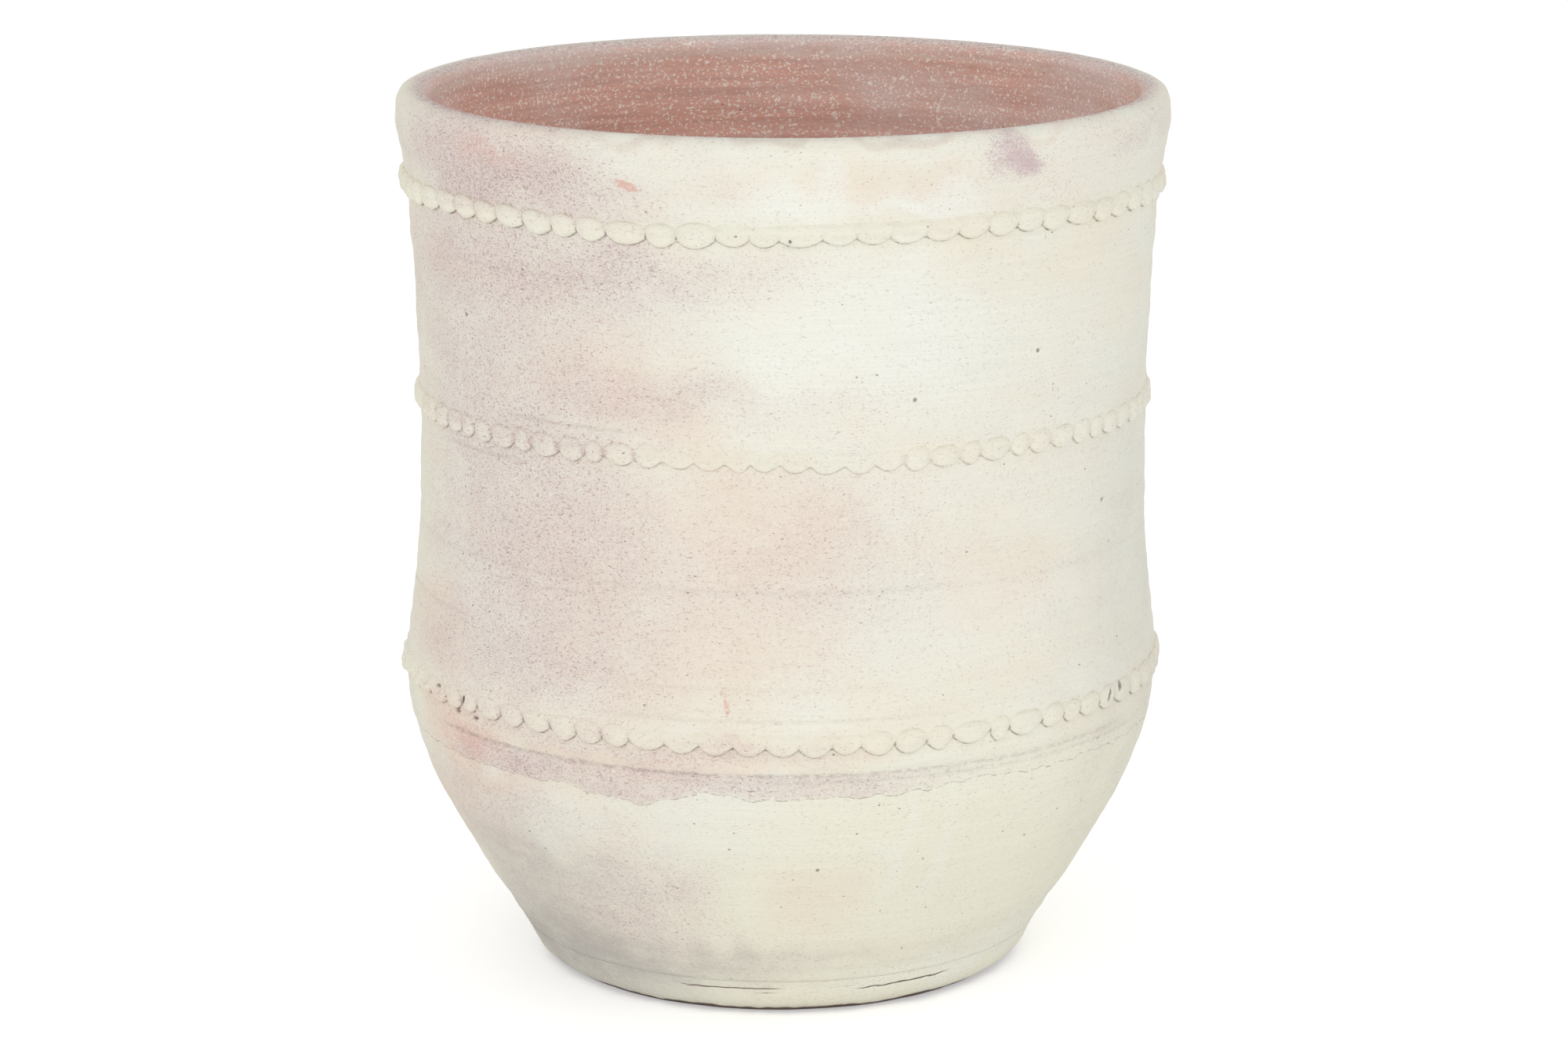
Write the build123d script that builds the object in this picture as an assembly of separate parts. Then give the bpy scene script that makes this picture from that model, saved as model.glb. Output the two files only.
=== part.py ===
from build123d import *

import math
import os
from dataclasses import dataclass

# Terracotta amphora planter, modelled the way it is thrown: a base slab, four
# wall sections joined one on the other, and three thumb-pressed clay bands laid
# over the upper three joints. Millimetres, +Z up, origin at the centre of the
# underside, where the pot stands.

# Base slab with its drain hole; the bulge is how far the middle of its rounded
# edge stands outside the straight line between the edge's two ends
slab_height = 26.0
slab_edge_height = 10.5
slab_rest_radius = 157.6
slab_edge_radius = 170.0
slab_edge_bulge = 1.5
drain_radius = 14.0

# Heights of the four wall sections, each from its own lower joint
bowl_height = 186.0
waist_height = 182.0
shoulder_height = 146.0
rim_height = 60.0

# Outer radii at the joints
foot_joint_radius = 178.5
lower_joint_radius = 255.3
middle_joint_radius = 246.0
upper_joint_radius = 253.2

# Flare of the straight wall under the upper band, outwards for each unit of rise;
# the wall under the other two bands stands upright
upper_flare = 0.11

# Outer radii between the joints, each at its own rise above the joint below
heel_radius = 199.0
heel_rise = 32.0
bowl_radius = 225.8
bowl_rise = 80.0
belly_radius = 245.8
belly_rise = 123.0
waist_radius = 247.0
waist_rise = 98.0
shoulder_radius = 248.9
shoulder_rise = 80.0
lip_radius = 260.0

# Wall thicknesses, measured level
foot_wall = 26.0
heel_wall = 23.0
bowl_wall = 20.0
body_wall = 17.0
lip_thickness = 22.4

# Thumb-pressed bands: how far the strip rises above its joint, how deep its
# uncut back and its feathered top edge are drawn behind the wall's face, how far
# the straight wall under it runs on past it, and for each band the number of
# prints, how far they hang below the joint, how far they stand out of the wall
# and how far the creases between them cut back upwards
band_rise = 7.5
band_back = 6.0
band_feather = 1.0
band_margin = 1.5
upper_print_count = 70
upper_drop = 7.0
upper_relief = 4.6
upper_scallop = 4.8
middle_print_count = 80
middle_drop = 6.5
middle_relief = 2.6
middle_scallop = 4.4
lower_print_count = 75
lower_drop = 7.0
lower_relief = 3.0
lower_scallop = 4.4

# Shape of one print: the share of its relief left in the creases between two
# prints, how far up its height it stands out most, the share of its relief at
# mid height, where the thumb dished it, and its relief at the undercut foot
crease_share = 0.42
crest_share = 0.24
dish_share = 0.62
undercut_share = 0.55

# Heights of the joints, the top and the rolled lip, which follow from the sizes above
foot_joint = slab_height
lower_joint = foot_joint + bowl_height
middle_joint = lower_joint + waist_height
upper_joint = middle_joint + shoulder_height
overall_height = upper_joint + rim_height
lip_bead_radius = lip_thickness / 2
lip_centre = overall_height - lip_bead_radius

HALF = 0.5
FULL_TURN = 360.0
ANGLE_TOLERANCE = 0.01


@dataclass
class Joint:
    """A level joint of two wall sections and the strip of thumb prints laid over it."""

    height: float
    radius: float
    flare: float
    print_count: int
    drop: float
    relief: float
    scallop: float

    @property
    def pitch(self):
        """Angle from one print to the next, in degrees."""
        return FULL_TURN / self.print_count

    @property
    def direction(self):
        """Direction of the straight wall under the strip."""
        return (self.flare, 1)

    @property
    def outer(self):
        """Outer edge of the joint, in radius and height."""
        return (self.radius, self.height)

    @property
    def inner(self):
        """Inner edge of the joint, in radius and height."""
        return (self.radius - body_wall, self.height)

    @property
    def low(self):
        """Where the straight wall under the strip begins."""
        below = self.drop + band_margin
        return (self.radius - self.flare * below, self.height - below)

    @property
    def high(self):
        """Where the straight wall under the strip ends."""
        above = band_rise + band_margin
        return (self.radius + self.flare * above, self.height + above)


lower = Joint(
    height=lower_joint,
    radius=lower_joint_radius,
    flare=0,
    print_count=lower_print_count,
    drop=lower_drop,
    relief=lower_relief,
    scallop=lower_scallop,
)
middle = Joint(
    height=middle_joint,
    radius=middle_joint_radius,
    flare=0,
    print_count=middle_print_count,
    drop=middle_drop,
    relief=middle_relief,
    scallop=middle_scallop,
)
upper = Joint(
    height=upper_joint,
    radius=upper_joint_radius,
    flare=upper_flare,
    print_count=upper_print_count,
    drop=upper_drop,
    relief=upper_relief,
    scallop=upper_scallop,
)


def foot_slope():
    """Direction in which the wall leaves the slab, in line with its flared edge."""
    run = foot_joint_radius - slab_edge_radius
    rise = slab_height - slab_edge_height
    return (run, rise)


def turned(outline):
    """Solid of revolution of a closed outline drawn in radius and height."""
    return revolve(Plane.XZ * make_face(outline), Axis.Z, FULL_TURN)


def ring(outside, inside):
    """Ring of wall between its outer and inner side, closed level at both ends."""
    outer_side = Curve() + outside
    low_end = Line(outer_side @ 0, inside @ 0)
    high_end = Line(outer_side @ 1, inside @ 1)
    return turned(outer_side + low_end + high_end + inside)


def bowl_section():
    """Lowest ring of wall, flaring from the slab to the first joint."""
    heel_level = foot_joint + heel_rise
    bowl_level = foot_joint + bowl_rise
    belly_level = foot_joint + belly_rise
    directions = [foot_slope(), lower.direction]
    flared_side = Spline(
        (foot_joint_radius, foot_joint),
        (heel_radius, heel_level),
        (bowl_radius, bowl_level),
        (belly_radius, belly_level),
        lower.low,
        tangents=directions,
    )
    inside = Spline(
        (foot_joint_radius - foot_wall, foot_joint),
        (heel_radius - heel_wall, heel_level),
        (bowl_radius - bowl_wall, bowl_level),
        (belly_radius - body_wall, belly_level),
        lower.inner,
        tangents=directions,
    )
    return ring([flared_side, Line(lower.low, lower.outer)], inside)


def middle_ring(below, above, radius, height):
    """Ring of wall between two banded joints, through one radius between them."""
    directions = [below.direction, above.direction]
    outside = [
        Line(below.outer, below.high),
        Spline(below.high, (radius, height), above.low, tangents=directions),
        Line(above.low, above.outer),
    ]
    inside_middle = (radius - body_wall, height)
    inside = Spline(below.inner, inside_middle, above.inner, tangents=directions)
    return ring(outside, inside)


def rim_section():
    """Uppermost ring of wall, flaring out to the rolled lip."""
    lip_outer = (lip_radius, lip_centre)
    lip_top = (lip_radius - lip_bead_radius, overall_height)
    lip_inner = (lip_radius - lip_thickness, lip_centre)
    directions = [upper.direction, (0, 1)]
    outside = Curve() + [
        Line(upper.outer, upper.high),
        Spline(upper.high, lip_outer, tangents=directions),
    ]
    lip_bead = ThreePointArc(lip_outer, lip_top, lip_inner)
    inside = Spline(upper.inner, lip_inner, tangents=directions)
    return turned(outside + lip_bead + inside + Line(upper.outer, upper.inner))


def base_slab():
    """Thick floor disc with a rounded, flared edge and a central drain hole."""
    edge_middle = (
        HALF * (slab_rest_radius + slab_edge_radius) + slab_edge_bulge,
        HALF * slab_edge_height - slab_edge_bulge,
    )
    underside = Line((drain_radius, 0), (slab_rest_radius, 0))
    rounded_edge = ThreePointArc((slab_rest_radius, 0), edge_middle, (slab_edge_radius, slab_edge_height))
    flared_edge = Line((slab_edge_radius, slab_edge_height), (foot_joint_radius, slab_height))
    floor_line = Line((foot_joint_radius, slab_height), (drain_radius, slab_height))
    drain_wall = Line((drain_radius, slab_height), (drain_radius, 0))
    return turned(underside + rounded_edge + flared_edge + floor_line + drain_wall)


def print_section(joint, foot, relief, angle):
    """Closed section of a pressed print in the radial plane at an angle."""
    top = joint.height + band_rise
    height = top - foot
    back = joint.radius - band_back
    foot_point = (joint.radius + undercut_share * relief, foot)
    crest_point = (joint.radius + relief, foot + crest_share * height)
    dish_point = (joint.radius + dish_share * relief, foot + HALF * height)
    top_point = (joint.radius - band_feather, top)
    pressed_side = Spline(foot_point, crest_point, dish_point, top_point)
    top_line = Line(top_point, (back, top))
    back_line = Line((back, top), (back, foot))
    foot_line = Line((back, foot), foot_point)
    outline = make_face(pressed_side + top_line + back_line + foot_line)
    return Rot(0, 0, angle) * (Plane.XZ * outline)


def one_print(joint):
    """One thumb print, lofted from the crease before it to the crease after it."""
    print_foot = joint.height - joint.drop
    crease_foot = print_foot + joint.scallop
    crease_relief = crease_share * joint.relief
    first_crease = print_section(joint, crease_foot, crease_relief, -HALF * joint.pitch)
    crown = print_section(joint, print_foot, joint.relief, 0)
    last_crease = print_section(joint, crease_foot, crease_relief, HALF * joint.pitch)
    return loft([first_crease, crown, last_crease])


def wall_behind(joint):
    """Solid as wide as the straight wall under a strip, which trims the strip's back."""
    axis_low = (0, joint.low[1])
    axis_high = (0, joint.high[1])
    return turned(Polyline(axis_low, joint.low, joint.high, axis_high, close=True))


def is_crease_face(face, joint):
    """True for the two flat ends of a print, where it meets its neighbours."""
    centre = face.center()
    angle = abs(math.degrees(math.atan2(centre.Y, centre.X)))
    return abs(angle - HALF * joint.pitch) < ANGLE_TOLERANCE


def pressed_band(joint):
    """A closed ring of prints, each cut to sit on the outside of the wall."""
    seated_print = one_print(joint) - wall_behind(joint)
    skin = [face for face in seated_print.faces() if not is_crease_face(face, joint)]
    turns = [Rot(0, 0, joint.pitch * turn) for turn in range(joint.print_count)]
    return Solid(Shell([turn * face for turn in turns for face in skin]))


def build_parts():
    """All sub-parts by name, from the floor up."""
    return {
        "base_slab": base_slab(),
        "bowl_section": bowl_section(),
        "waist_section": middle_ring(lower, middle, waist_radius, lower_joint + waist_rise),
        "shoulder_section": middle_ring(middle, upper, shoulder_radius, middle_joint + shoulder_rise),
        "rim_section": rim_section(),
        "lower_band": pressed_band(lower),
        "middle_band": pressed_band(middle),
        "upper_band": pressed_band(upper),
    }


os.makedirs("parts", exist_ok=True)
for name, part in build_parts().items():
    export_step(part, f"parts/{name}.step")
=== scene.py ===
"""Terracotta amphora planter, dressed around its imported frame.

The pot is thrown in sections and its joints are covered by bands of clay that a thumb has
pressed on. All of it is fired clay with a lime bloom: cream where the bloom is thick,
lilac and pink where the clay shows through, and red inside, where only specks of lime sit.
Lengths are millimetres and angles are degrees until a mesh is made, which is in metres.
An angle of 0 faces the viewer and angles grow towards the viewer's right.
"""

import logging
import math
from dataclasses import dataclass, field
from enum import Enum
from typing import Iterable

import bpy
import numpy as np
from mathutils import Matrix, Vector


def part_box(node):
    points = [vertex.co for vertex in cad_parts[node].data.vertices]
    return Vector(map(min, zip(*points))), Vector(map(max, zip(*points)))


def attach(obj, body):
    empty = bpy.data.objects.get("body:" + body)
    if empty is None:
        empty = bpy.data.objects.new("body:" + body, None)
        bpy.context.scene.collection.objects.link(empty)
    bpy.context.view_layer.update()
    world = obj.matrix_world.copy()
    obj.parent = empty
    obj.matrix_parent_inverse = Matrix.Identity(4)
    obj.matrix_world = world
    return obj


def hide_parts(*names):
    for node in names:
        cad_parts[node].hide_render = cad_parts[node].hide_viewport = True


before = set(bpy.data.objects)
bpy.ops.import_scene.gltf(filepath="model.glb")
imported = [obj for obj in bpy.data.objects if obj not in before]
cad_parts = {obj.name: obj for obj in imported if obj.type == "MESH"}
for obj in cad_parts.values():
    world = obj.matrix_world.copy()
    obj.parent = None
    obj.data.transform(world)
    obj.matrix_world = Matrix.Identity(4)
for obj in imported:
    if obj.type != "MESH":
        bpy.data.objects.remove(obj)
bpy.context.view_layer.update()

Array = np.ndarray
Socket = bpy.types.NodeSocket
MILLIMETRE = 0.001
FULL_TURN = 360.0
HALF_TURN = 180.0
OUT_OF_REACH = -50.0
LOG = logging.getLogger("amphora")


class Layer(Enum):
    """Names of the mesh attributes that carry the state of the clay, and the painted shade, from the surface
    to the shader.
    """

    LILAC = "lilac_clay"
    PEACH = "peach_clay"
    ROSE = "rose_clay"
    PURPLE = "purple_clay"
    CHALK = "chalky_lime"
    STRAW = "straw_lime_and_painted_light"
    GREY_SHADE = "painted_grey_shade"
    DARK = "painted_shade_and_dark_marks"
    STREAK = "scored_line"
    SLIP = "above_slip_edge"
    BAND = "below_band"
    SEAM = "band_seam_shade_and_dirt"
    INSIDE = "inside_wall"


DISTANCES = (Layer.SLIP, Layer.BAND)
PATCHED_LAYERS = (Layer.LILAC, Layer.PEACH, Layer.ROSE, Layer.PURPLE, Layer.CHALK, Layer.STRAW, Layer.GREY_SHADE)


def smooth_step(low: float, high: float, value: Array) -> Array:
    """Cubic step 3t^2 - 2t^3, where t runs from 0 at low to 1 at high.

    Args:
        low: value at which the step starts.
        high: value at which it ends, which may be lower than low.
        value: values to step.

    Returns:
        The step of each value, from 0 to 1.
    """
    t = np.clip((value - low) / (high - low), 0.0, 1.0)
    return t * t * (3.0 - 2.0 * t)


def turn_between(angle: Array, centre: float) -> Array:
    """Shortest signed turn in degrees from a centre angle to each angle."""
    return (angle - centre + HALF_TURN) % FULL_TURN - HALF_TURN


class SmoothCurve:
    """Natural cubic spline: a cubic between each two knots, with slope and curvature running on."""

    def __init__(self, knots: Iterable[tuple[float, float]]) -> None:
        """Solves for the curvature at each knot.

        Args:
            knots: (position, value) pairs, in order of position.
        """
        self.x, self.y = np.array(list(knots), float).T
        gap = np.diff(self.x)
        slope = np.diff(self.y) / gap
        size = len(self.x)
        system = np.eye(size)
        right = np.zeros(size)
        inner = np.arange(1, size - 1)
        system[inner, inner - 1] = gap[:-1]
        system[inner, inner] = 2.0 * (gap[:-1] + gap[1:])
        system[inner, inner + 1] = gap[1:]
        right[inner] = 6.0 * np.diff(slope)
        self.bend = np.linalg.solve(system, right)

    def at(self, position: Array) -> Array:
        """Value of the curve, from the cubic of the span that each position falls in.

        Args:
            position: positions along the curve, held to its ends.

        Returns:
            The curve's value at each position.
        """
        x = np.clip(position, self.x[0], self.x[-1])
        k = np.clip(np.searchsorted(self.x, x) - 1, 0, len(self.x) - 2)
        gap = self.x[k + 1] - self.x[k]
        before = x - self.x[k]
        after = self.x[k + 1] - x
        curved = (self.bend[k] * after**3 + self.bend[k + 1] * before**3) / (6.0 * gap)
        low = (self.y[k] / gap - self.bend[k] * gap / 6.0) * after
        high = (self.y[k + 1] / gap - self.bend[k + 1] * gap / 6.0) * before
        return curved + low + high


@dataclass(frozen=True)
class Ripple:
    """Seeded sum of waves over the wall, each with a whole number of turns so that it closes."""

    seed: int
    count: int
    amplitude: float
    shortest: float
    longest: float
    upright_share: float = 1.0
    radius: float = 250.0

    def at(self, angle: Array, height: Array) -> Array:
        """Sum of cosines of n * angle + k * height + phase, scaled to the amplitude.

        Args:
            angle: angles round the pot.
            height: heights above the floor.

        Returns:
            The ripple, about the amplitude in root mean square.
        """
        rng = np.random.default_rng(self.seed)
        length = self.shortest * (self.longest / self.shortest) ** rng.random(self.count)
        heading = rng.random(self.count) * math.pi
        phase = rng.random(self.count) * 2.0 * math.pi
        around = np.round(self.radius * 2.0 * math.pi / length * np.cos(heading) * self.upright_share)
        upright = 2.0 * math.pi / length * np.sin(heading)
        turn = np.radians(angle)
        total = np.zeros(np.broadcast(angle, height).shape)
        for n, k, p in zip(around, upright, phase):
            total += np.cos(n * turn + k * height + p)
        return self.amplitude * total * math.sqrt(2.0 / self.count)


@dataclass(frozen=True)
class SoftPatch:
    """A soft patch of one layer: full inside an ellipse and fading out over its edge."""

    angle: float
    height: float
    across: float
    tall: float
    strength: float
    edge: float = 0.5
    tilt: float = 0.0

    def at(self, angle: Array, height: Array) -> Array:
        """Strength times a smooth step of the distance from the centre, 1 on the ellipse.

        Args:
            angle: angles round the pot.
            height: heights above the floor.

        Returns:
            The patch's share of its layer.
        """
        rise = height - self.height
        turn = turn_between(angle, self.angle) - self.tilt * rise
        reach = np.hypot(turn / self.across, rise / self.tall)
        return self.strength * smooth_step(1.0 + self.edge, 1.0 - self.edge, reach)


@dataclass(frozen=True)
class Score:
    """A line drawn or brushed round the turning pot: a groove where deep, a ridge where negative."""

    height: float
    start: float
    end: float
    depth: float
    width: float
    darkness: float = 0.0
    climb: float = 0.0
    fade: float = 8.0

    def at(self, angle: Array, height: Array) -> Array:
        """Bell exp(-(rise / width)^2) across the line, faded at both ends, but not where it goes all round.

        Args:
            angle: angles round the pot.
            height: heights above the floor.

        Returns:
            The line's profile, 1 along its middle.
        """
        middle = 0.5 * (self.start + self.end)
        half = 0.5 * (self.end - self.start)
        turn = turn_between(angle, middle)
        along = smooth_step(half, half - self.fade, np.abs(turn)) if half < HALF_TURN else np.ones_like(turn)
        rise = height - self.height - self.climb * turn
        return along * np.exp(-((rise / self.width) ** 2))


@dataclass(frozen=True)
class PatchMap:
    """Where each layer of the weathered wall lies, over angle and height."""

    stains: dict[Layer, tuple[SoftPatch, ...]]
    wander: Ripple = Ripple(seed=11, count=26, amplitude=1.0, shortest=30.0, longest=160.0)
    wander_turn: float = 1.3
    wander_rise: float = 4.0

    def layer(self, name: Layer, angle: Array, height: Array) -> Array:
        """Sum of the layer's patches, read a little off their place so that their edges wander.

        Args:
            name: the layer.
            angle: angles round the pot.
            height: heights above the floor.

        Returns:
            The layer's strength, from 0 to 1.
        """
        shift = self.wander.at(angle, height)
        total = np.zeros(np.broadcast(angle, height).shape)
        for stain in self.stains.get(name, ()):
            total += stain.at(angle + self.wander_turn * shift, height + self.wander_rise * shift)
        return np.clip(total, 0.0, 1.0)


LAYER_PATCHES = PatchMap(
    {
        Layer.LILAC: (
            SoftPatch(-50, 470, 32, 80, 0.58, 0.8),
            SoftPatch(-54, 578, 24, 36, 0.60, 0.8),
            SoftPatch(-28, 570, 22, 28, 0.32, 0.8),
            SoftPatch(-38, 508, 34, 24, 0.24, 0.8),
            SoftPatch(-12, 518, 20, 20, 0.24, 0.8),
            SoftPatch(-52, 320, 28, 90, 0.46, 0.8),
            SoftPatch(-18, 320, 34, 80, 0.32, 0.8),
            SoftPatch(-8, 432, 22, 16, 0.26, 0.8),
            SoftPatch(46, 566, 24, 30, 0.20, 0.8),
            SoftPatch(40, 400, 30, 60, 0.16, 0.8),
            SoftPatch(-46, 240, 34, 26, 0.26, 0.8),
            SoftPatch(-34, 203, 34, 10, 0.38, 0.8),
            SoftPatch(0, 204, 22, 8, 0.22, 0.8),
            SoftPatch(10, 320, 14, 60, 0.18, 0.8),
            SoftPatch(-28, 86, 14, 24, 0.42, 0.8),
            SoftPatch(-58, 120, 22, 44, 0.40, 0.8),
            SoftPatch(-40, 60, 30, 20, 0.34, 0.8),
            SoftPatch(-4, 40, 50, 14, 0.24, 0.9),
            SoftPatch(-42, 156, 24, 22, 0.24, 0.8),
            SoftPatch(-20, 118, 12, 26, 0.30, 0.8),
            SoftPatch(66, 588, 14, 12, 0.34, 0.8),
            SoftPatch(140, 420, 44, 120, 0.46, 0.8),
            SoftPatch(170, 250, 50, 90, 0.40, 0.8),
            SoftPatch(100, 560, 22, 30, 0.36, 0.8),
            SoftPatch(-120, 470, 34, 80, 0.36, 0.8),
            SoftPatch(-130, 230, 40, 60, 0.36, 0.8),
        ),
        Layer.PEACH: (
            SoftPatch(-27, 452, 11, 30, 0.62, 0.7),
            SoftPatch(-18, 420, 7, 24, 0.40, 0.7, -0.25),
            SoftPatch(-60, 505, 10, 18, 0.55, 0.6),
            SoftPatch(-17, 312, 27, 88, 0.52, 0.35),
            SoftPatch(2, 350, 14, 34, 0.26, 0.6),
            SoftPatch(-48, 572, 20, 30, 0.45, 0.8),
            SoftPatch(-7, 572, 6, 16, 0.38, 0.7),
            SoftPatch(13, 574, 11, 15, 0.34, 0.35),
            SoftPatch(36, 574, 20, 24, 0.30, 0.7),
            SoftPatch(29, 520, 5, 26, 0.22, 0.5),
            SoftPatch(0, 600, 70, 4, 0.45, 0.6),
            SoftPatch(-30, 204, 40, 12, 0.38, 0.7),
            SoftPatch(4, 206, 24, 10, 0.25, 0.7),
            SoftPatch(-60, 192, 9, 20, 0.75, 0.8),
            SoftPatch(-49, 166, 12, 13, 0.65, 0.8),
            SoftPatch(-50, 230, 10, 10, 0.35, 0.8),
            SoftPatch(40, 300, 26, 70, 0.22, 0.8),
            SoftPatch(5, 98, 9, 34, 0.42, 0.5),
            SoftPatch(34, 312, 12, 30, 0.25, 0.6),
            SoftPatch(-66, 255, 12, 30, 0.70, 0.6),
            SoftPatch(-60, 130, 14, 40, 0.55, 0.6),
            SoftPatch(-22, 192, 24, 7, 0.55, 0.6),
            SoftPatch(-24, 178, 12, 12, 0.45, 0.5),
            SoftPatch(150, 520, 40, 30, 0.5, 0.5),
            SoftPatch(120, 300, 30, 60, 0.5, 0.5),
            SoftPatch(-150, 350, 40, 70, 0.6, 0.5),
            SoftPatch(-100, 120, 30, 40, 0.4, 0.5),
        ),
        Layer.ROSE: (
            SoftPatch(-47, 580, 8, 11, 0.55, 0.6),
            SoftPatch(-20.5, 574, 2.4, 5.0, 1.0, 0.5),
            SoftPatch(-55, 186, 9, 13, 0.72, 0.8),
            SoftPatch(-60, 206, 8, 4, 0.35, 0.8),
            SoftPatch(-10.4, 231, 0.9, 9, 0.8, 0.4, -0.03),
            SoftPatch(-20, 200, 4, 4, 0.35, 0.6),
            SoftPatch(-13, 201, 4, 4, 0.35, 0.6),
            SoftPatch(160, 190, 26, 12, 0.6, 0.6),
        ),
        Layer.PURPLE: (
            SoftPatch(35.0, 587, 6.5, 15, 0.80, 0.6),
            SoftPatch(37, 576, 5, 8, 0.35, 0.7),
            SoftPatch(-150, 560, 12, 24, 0.6, 0.5),
        ),
        Layer.CHALK: (
            SoftPatch(2, 562, 9, 16, 0.7, 0.5),
            SoftPatch(23, 560, 10, 13, 0.8, 0.35),
            SoftPatch(12, 470, 22, 56, 0.6, 0.6),
            SoftPatch(18, 372, 14, 26, 0.35, 0.6),
            SoftPatch(34, 285, 16, 30, 0.3, 0.6),
            SoftPatch(-22, 436, 7, 10, 0.3, 0.6),
            SoftPatch(18.5, 135, 1.5, 44, 0.35, 0.5),
            SoftPatch(27, 130, 2.0, 40, 0.35, 0.5),
            SoftPatch(60, 30, 22, 26, 0.5, 0.8),
            SoftPatch(26, 24, 20, 12, 0.35, 0.8),
            SoftPatch(-140, 420, 40, 80, 0.5, 0.5),
            SoftPatch(80, 380, 40, 120, 0.3, 0.5),
        ),
        # Straw lime; its broad patches at the foot, on the bowl and on the left flank are also painted light,
        # lifting the colour where the lamps light less.
        Layer.STRAW: (
            SoftPatch(42, 90, 60, 100, 1.0, 0.4),
            SoftPatch(0, 10, 180, 30, 0.4, 0.5),
            SoftPatch(-78, 350, 15, 260, 0.8, 0.5),
            SoftPatch(0, 60, 60, 50, 0.4, 0.5),
            SoftPatch(100, 90, 60, 92, 0.8, 0.5),
            SoftPatch(-10, 205, 60, 14, 0.25, 0.5),
            SoftPatch(180, 100, 70, 80, 0.6, 0.5),
        ),
        # Painted grey shade: round the foot's groove, on the left of the bowl, down the right flank and along
        # the lip's top edge.
        Layer.GREY_SHADE: (
            SoftPatch(-48, 28, 26, 32, 0.74, 0.9),
            SoftPatch(-26, 36, 34, 16, 0.22, 0.9),
            SoftPatch(34, 42, 30, 8, 0.06, 0.8),
            SoftPatch(6, 38, 36, 12, 0.10, 0.9),
            SoftPatch(4, 600, 40, 3.5, 0.35, 0.6),
            SoftPatch(-50, 96, 20, 34, 0.50, 0.7),
            SoftPatch(68, 250, 22, 180, 0.30, 0.7),
            SoftPatch(-110, 30, 40, 30, 0.6, 0.5),
        ),
    }
)

SCORES = (
    Score(198.0, -70, 70, -0.7, 2.6, 0.0),
    Score(191.0, -64, 66, 0.9, 1.1, 0.7, 0.004),
    Score(186.0, -20, 70, 0.35, 1.2, 0.3, -0.01),
    Score(383.5, -76, -4, -0.8, 2.0, 0.0),
    Score(380.0, -66, -40, 0.4, 1.0, 0.4),
    Score(409.0, -50, -18, 0.4, 0.6, 0.3, 0.01),
    Score(309.0, -96, 30, 0.4, 1.8, 0.16, -0.012),
    Score(307.0, 20, 100, 0.25, 1.6, 0.08, 0.01),
    Score(300.0, -54, -26, 0.3, 1.0, 0.2),
    Score(268.0, -88, -52, 0.3, 1.2, 0.25),
    Score(246.0, -40, 22, 0.25, 1.6, 0.1, 0.01),
    Score(226.0, -30, 30, 0.25, 1.0, 0.2),
    Score(505.0, -66, -20, 0.2, 1.4, 0.2),
    Score(560.0, -88, 88, 0.25, 2.6, 0.0),
    Score(47.0, -180, 180, 0.6, 4.0, 0.05),
    Score(38.0, -180, 180, -0.4, 3.0, 0.0),
    Score(31.0, -80, 20, -0.5, 1.6, 0.0),
    Score(250.0, 100, 220, 0.4, 1.2, 0.4),
    Score(420.0, 120, 200, 0.3, 1.2, 0.3),
)

GASHES = (
    SoftPatch(-54.0, 211.0, 0.55, 5.0, 1.0, 0.4, 0.05),
    SoftPatch(-56.6, 203.5, 0.9, 1.6, 0.9, 0.4, -0.2),
    SoftPatch(-51.6, 202.0, 0.6, 1.6, 0.9, 0.4),
    SoftPatch(-62.0, 214.0, 0.9, 1.3, 0.7, 0.5),
    SoftPatch(57.0, 213.0, 0.35, 4.0, 0.8, 0.5, 0.15),
    SoftPatch(61.0, 215.0, 0.35, 3.5, 0.7, 0.5, 0.15),
    SoftPatch(25.0, 187.0, 0.6, 2.0, 0.45, 0.5),
    SoftPatch(28.0, 189.0, 0.35, 3.0, 0.35, 0.5),
    SoftPatch(58.5, 343.0, 0.5, 1.8, 0.7, 0.5),
    SoftPatch(1.0, 536.0, 0.3, 1.3, 0.9, 0.5),
)

SLIP_RAGS = Ripple(seed=17, count=40, amplitude=0.9, shortest=9.0, longest=60.0)
SLIP_EDGE = (
    (-180.0, 176.0),
    (-120.0, 171.0),
    (-64.0, 172.5),
    (-44.0, 172.0),
    (-34.0, 173.5),
    (-29.0, 169.5),
    (-25.0, 168.5),
    (-20.0, 167.0),
    (-17.5, 171.5),
    (-11.0, 177.5),
    (-4.0, 175.0),
    (4.0, 173.5),
    (12.0, 174.5),
    (17.0, 175.0),
    (24.0, 178.5),
    (44.0, 177.0),
    (110.0, 174.0),
    (180.0, 176.0),
)


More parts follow.
